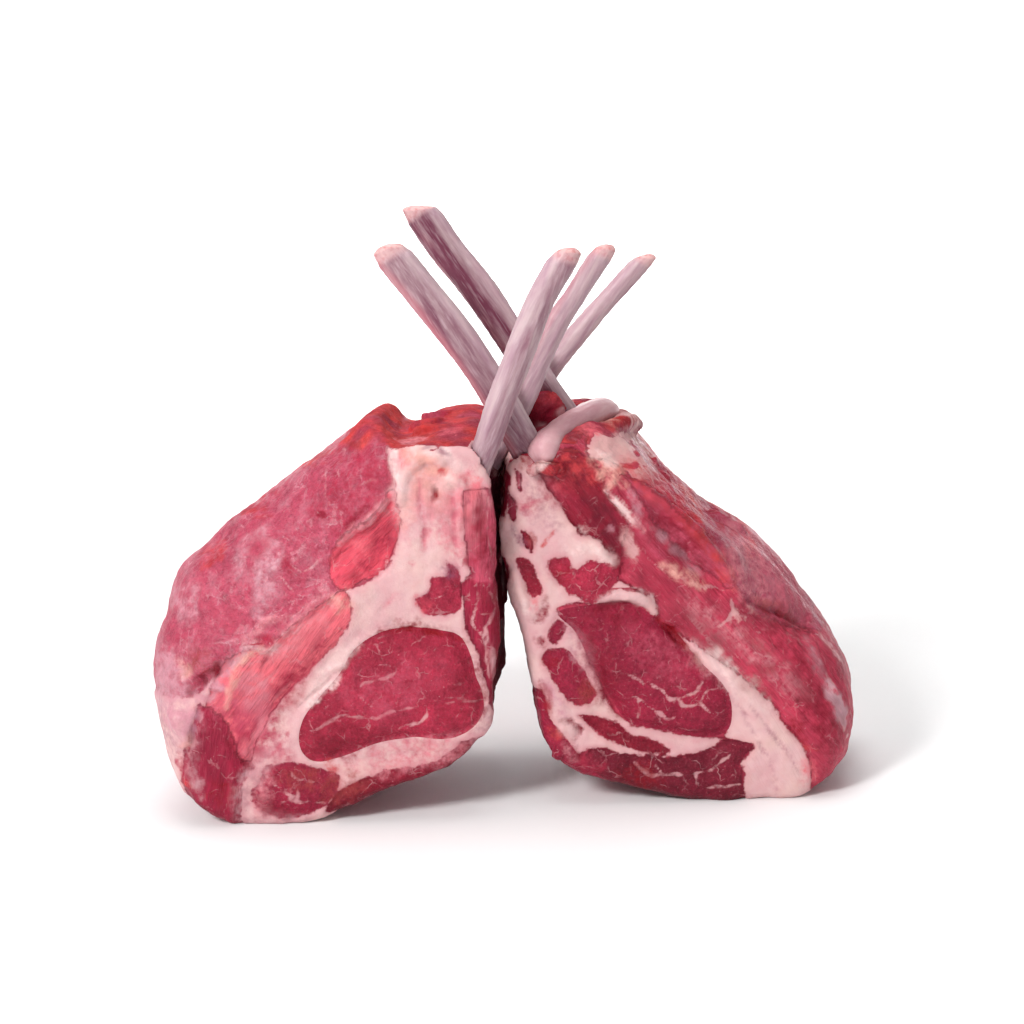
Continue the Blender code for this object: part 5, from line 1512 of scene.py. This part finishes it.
# The floor, in metres: from its front edge it is flat up to where it starts to curve up, then it stands.
FLOOR_FRONT = -3.0
FLOOR_BACK = 1.0
FLOOR_CURVE = 0.8
FLOOR_HEIGHT = 4.0
FLOOR_HALF_WIDTH = 4.0


def add_camera():
    """A long lens in front of the cuts, a little above them."""
    data = bpy.data.cameras.new("camera")
    data.sensor_width = FILM_WIDTH
    data.lens = LENS
    data.clip_start, data.clip_end = 0.05, 20.0
    camera = bpy.data.objects.new("camera", data)
    bpy.context.scene.collection.objects.link(camera)
    rise = math.radians(ELEVATION)
    back = Vector((0, -math.cos(rise), math.sin(rise))) * DISTANCE
    turn = (Matrix.Rotation(math.radians(90 - ELEVATION), 4, "X")
            @ Matrix.Rotation(-math.radians(ROLL), 4, "Z"))
    camera.matrix_world = Matrix.Translation((Vector(AIM) + back) * MM) @ turn
    bpy.context.scene.camera = camera


def add_lamp(name, strength):
    """A round soft lamp."""
    place, aim, width, power, spread = LAMPS[name]
    data = bpy.data.lights.new(name, "AREA")
    data.spread = math.radians(spread)
    data.shape = "DISK"
    data.size = width
    data.energy = power * strength
    lamp = bpy.data.objects.new(name, data)
    bpy.context.scene.collection.objects.link(lamp)
    lamp.location = place
    lamp.rotation_euler = (Vector(aim) - Vector(place)).to_track_quat("-Z", "Y").to_euler()


def add_floor():
    """A pale floor that curves up behind. It is matt white paper, which throws no highlight."""
    profile = [(FLOOR_FRONT, 0.0), (FLOOR_BACK, 0.0)]
    for step in range(1, 13):
        turn = math.pi / 2 * step / 12
        profile.append((FLOOR_BACK + FLOOR_CURVE * math.sin(turn), FLOOR_CURVE * (1 - math.cos(turn))))
    profile.append((FLOOR_BACK + FLOOR_CURVE, FLOOR_HEIGHT))
    shape = bmesh.new()
    rows = [[shape.verts.new((x, y, z)) for x in (-FLOOR_HALF_WIDTH, FLOOR_HALF_WIDTH)] for y, z in profile]
    for one, other in zip(rows, rows[1:]):
        shape.faces.new((one[0], one[1], other[1], other[0]))
    mesh = as_mesh(shape, "floor")
    mesh.shade_smooth()
    paper, _, _ = new_material("matt_white_paper", {"Base Color": rgba("f2f2f2"), "Roughness": 0.9})
    mesh.materials.append(paper)
    new_piece("floor", mesh)


class LAMB_OT_stage(bpy.types.Operator):
    """Set up the floor, the light and the camera"""
    bl_idname = "lamb.stage"
    bl_label = "Stage"

    def execute(self, context):
        scene = context.scene
        strength = scene.lamb_stage.brightness
        world = bpy.data.worlds.new("studio")
        world.use_nodes = True
        background = world.node_tree.nodes["Background"]
        background.inputs["Color"].default_value = (1.0, 1.0, 1.0, 1.0)
        background.inputs["Strength"].default_value = SKY * strength
        scene.world = world
        for name in LAMPS:
            add_lamp(name, strength)
        add_floor()
        add_camera()
        scene.view_settings.view_transform = "Standard"
        return {"FINISHED"}


class LAMB_PT_panel(bpy.types.Panel):
    """Lists the pieces that can be built"""
    bl_label = "Raw rack of lamb"
    bl_idname = "LAMB_PT_panel"
    bl_space_type = "VIEW_3D"
    bl_region_type = "UI"
    bl_category = "Lamb"

    def draw(self, context):
        for kind in OPERATORS:
            self.layout.operator(kind.bl_idname)


OPERATORS = (LAMB_OT_flesh, LAMB_OT_ribs, LAMB_OT_cartilage, LAMB_OT_stage)
CLASSES = (LambFlesh, LambBone, LambStage, *OPERATORS, LAMB_PT_panel)


def register():
    for kind in CLASSES:
        bpy.utils.register_class(kind)
    bpy.types.Scene.lamb_flesh = PointerProperty(type=LambFlesh)
    bpy.types.Scene.lamb_bone = PointerProperty(type=LambBone)
    bpy.types.Scene.lamb_stage = PointerProperty(type=LambStage)


def unregister():
    del bpy.types.Scene.lamb_flesh
    del bpy.types.Scene.lamb_bone
    del bpy.types.Scene.lamb_stage
    for kind in reversed(CLASSES):
        bpy.utils.unregister_class(kind)


def main():
    register()
    bpy.ops.lamb.flesh()
    bpy.ops.lamb.ribs()
    bpy.ops.lamb.cartilage()
    bpy.ops.lamb.stage()


if __name__ == "__main__":
    main()
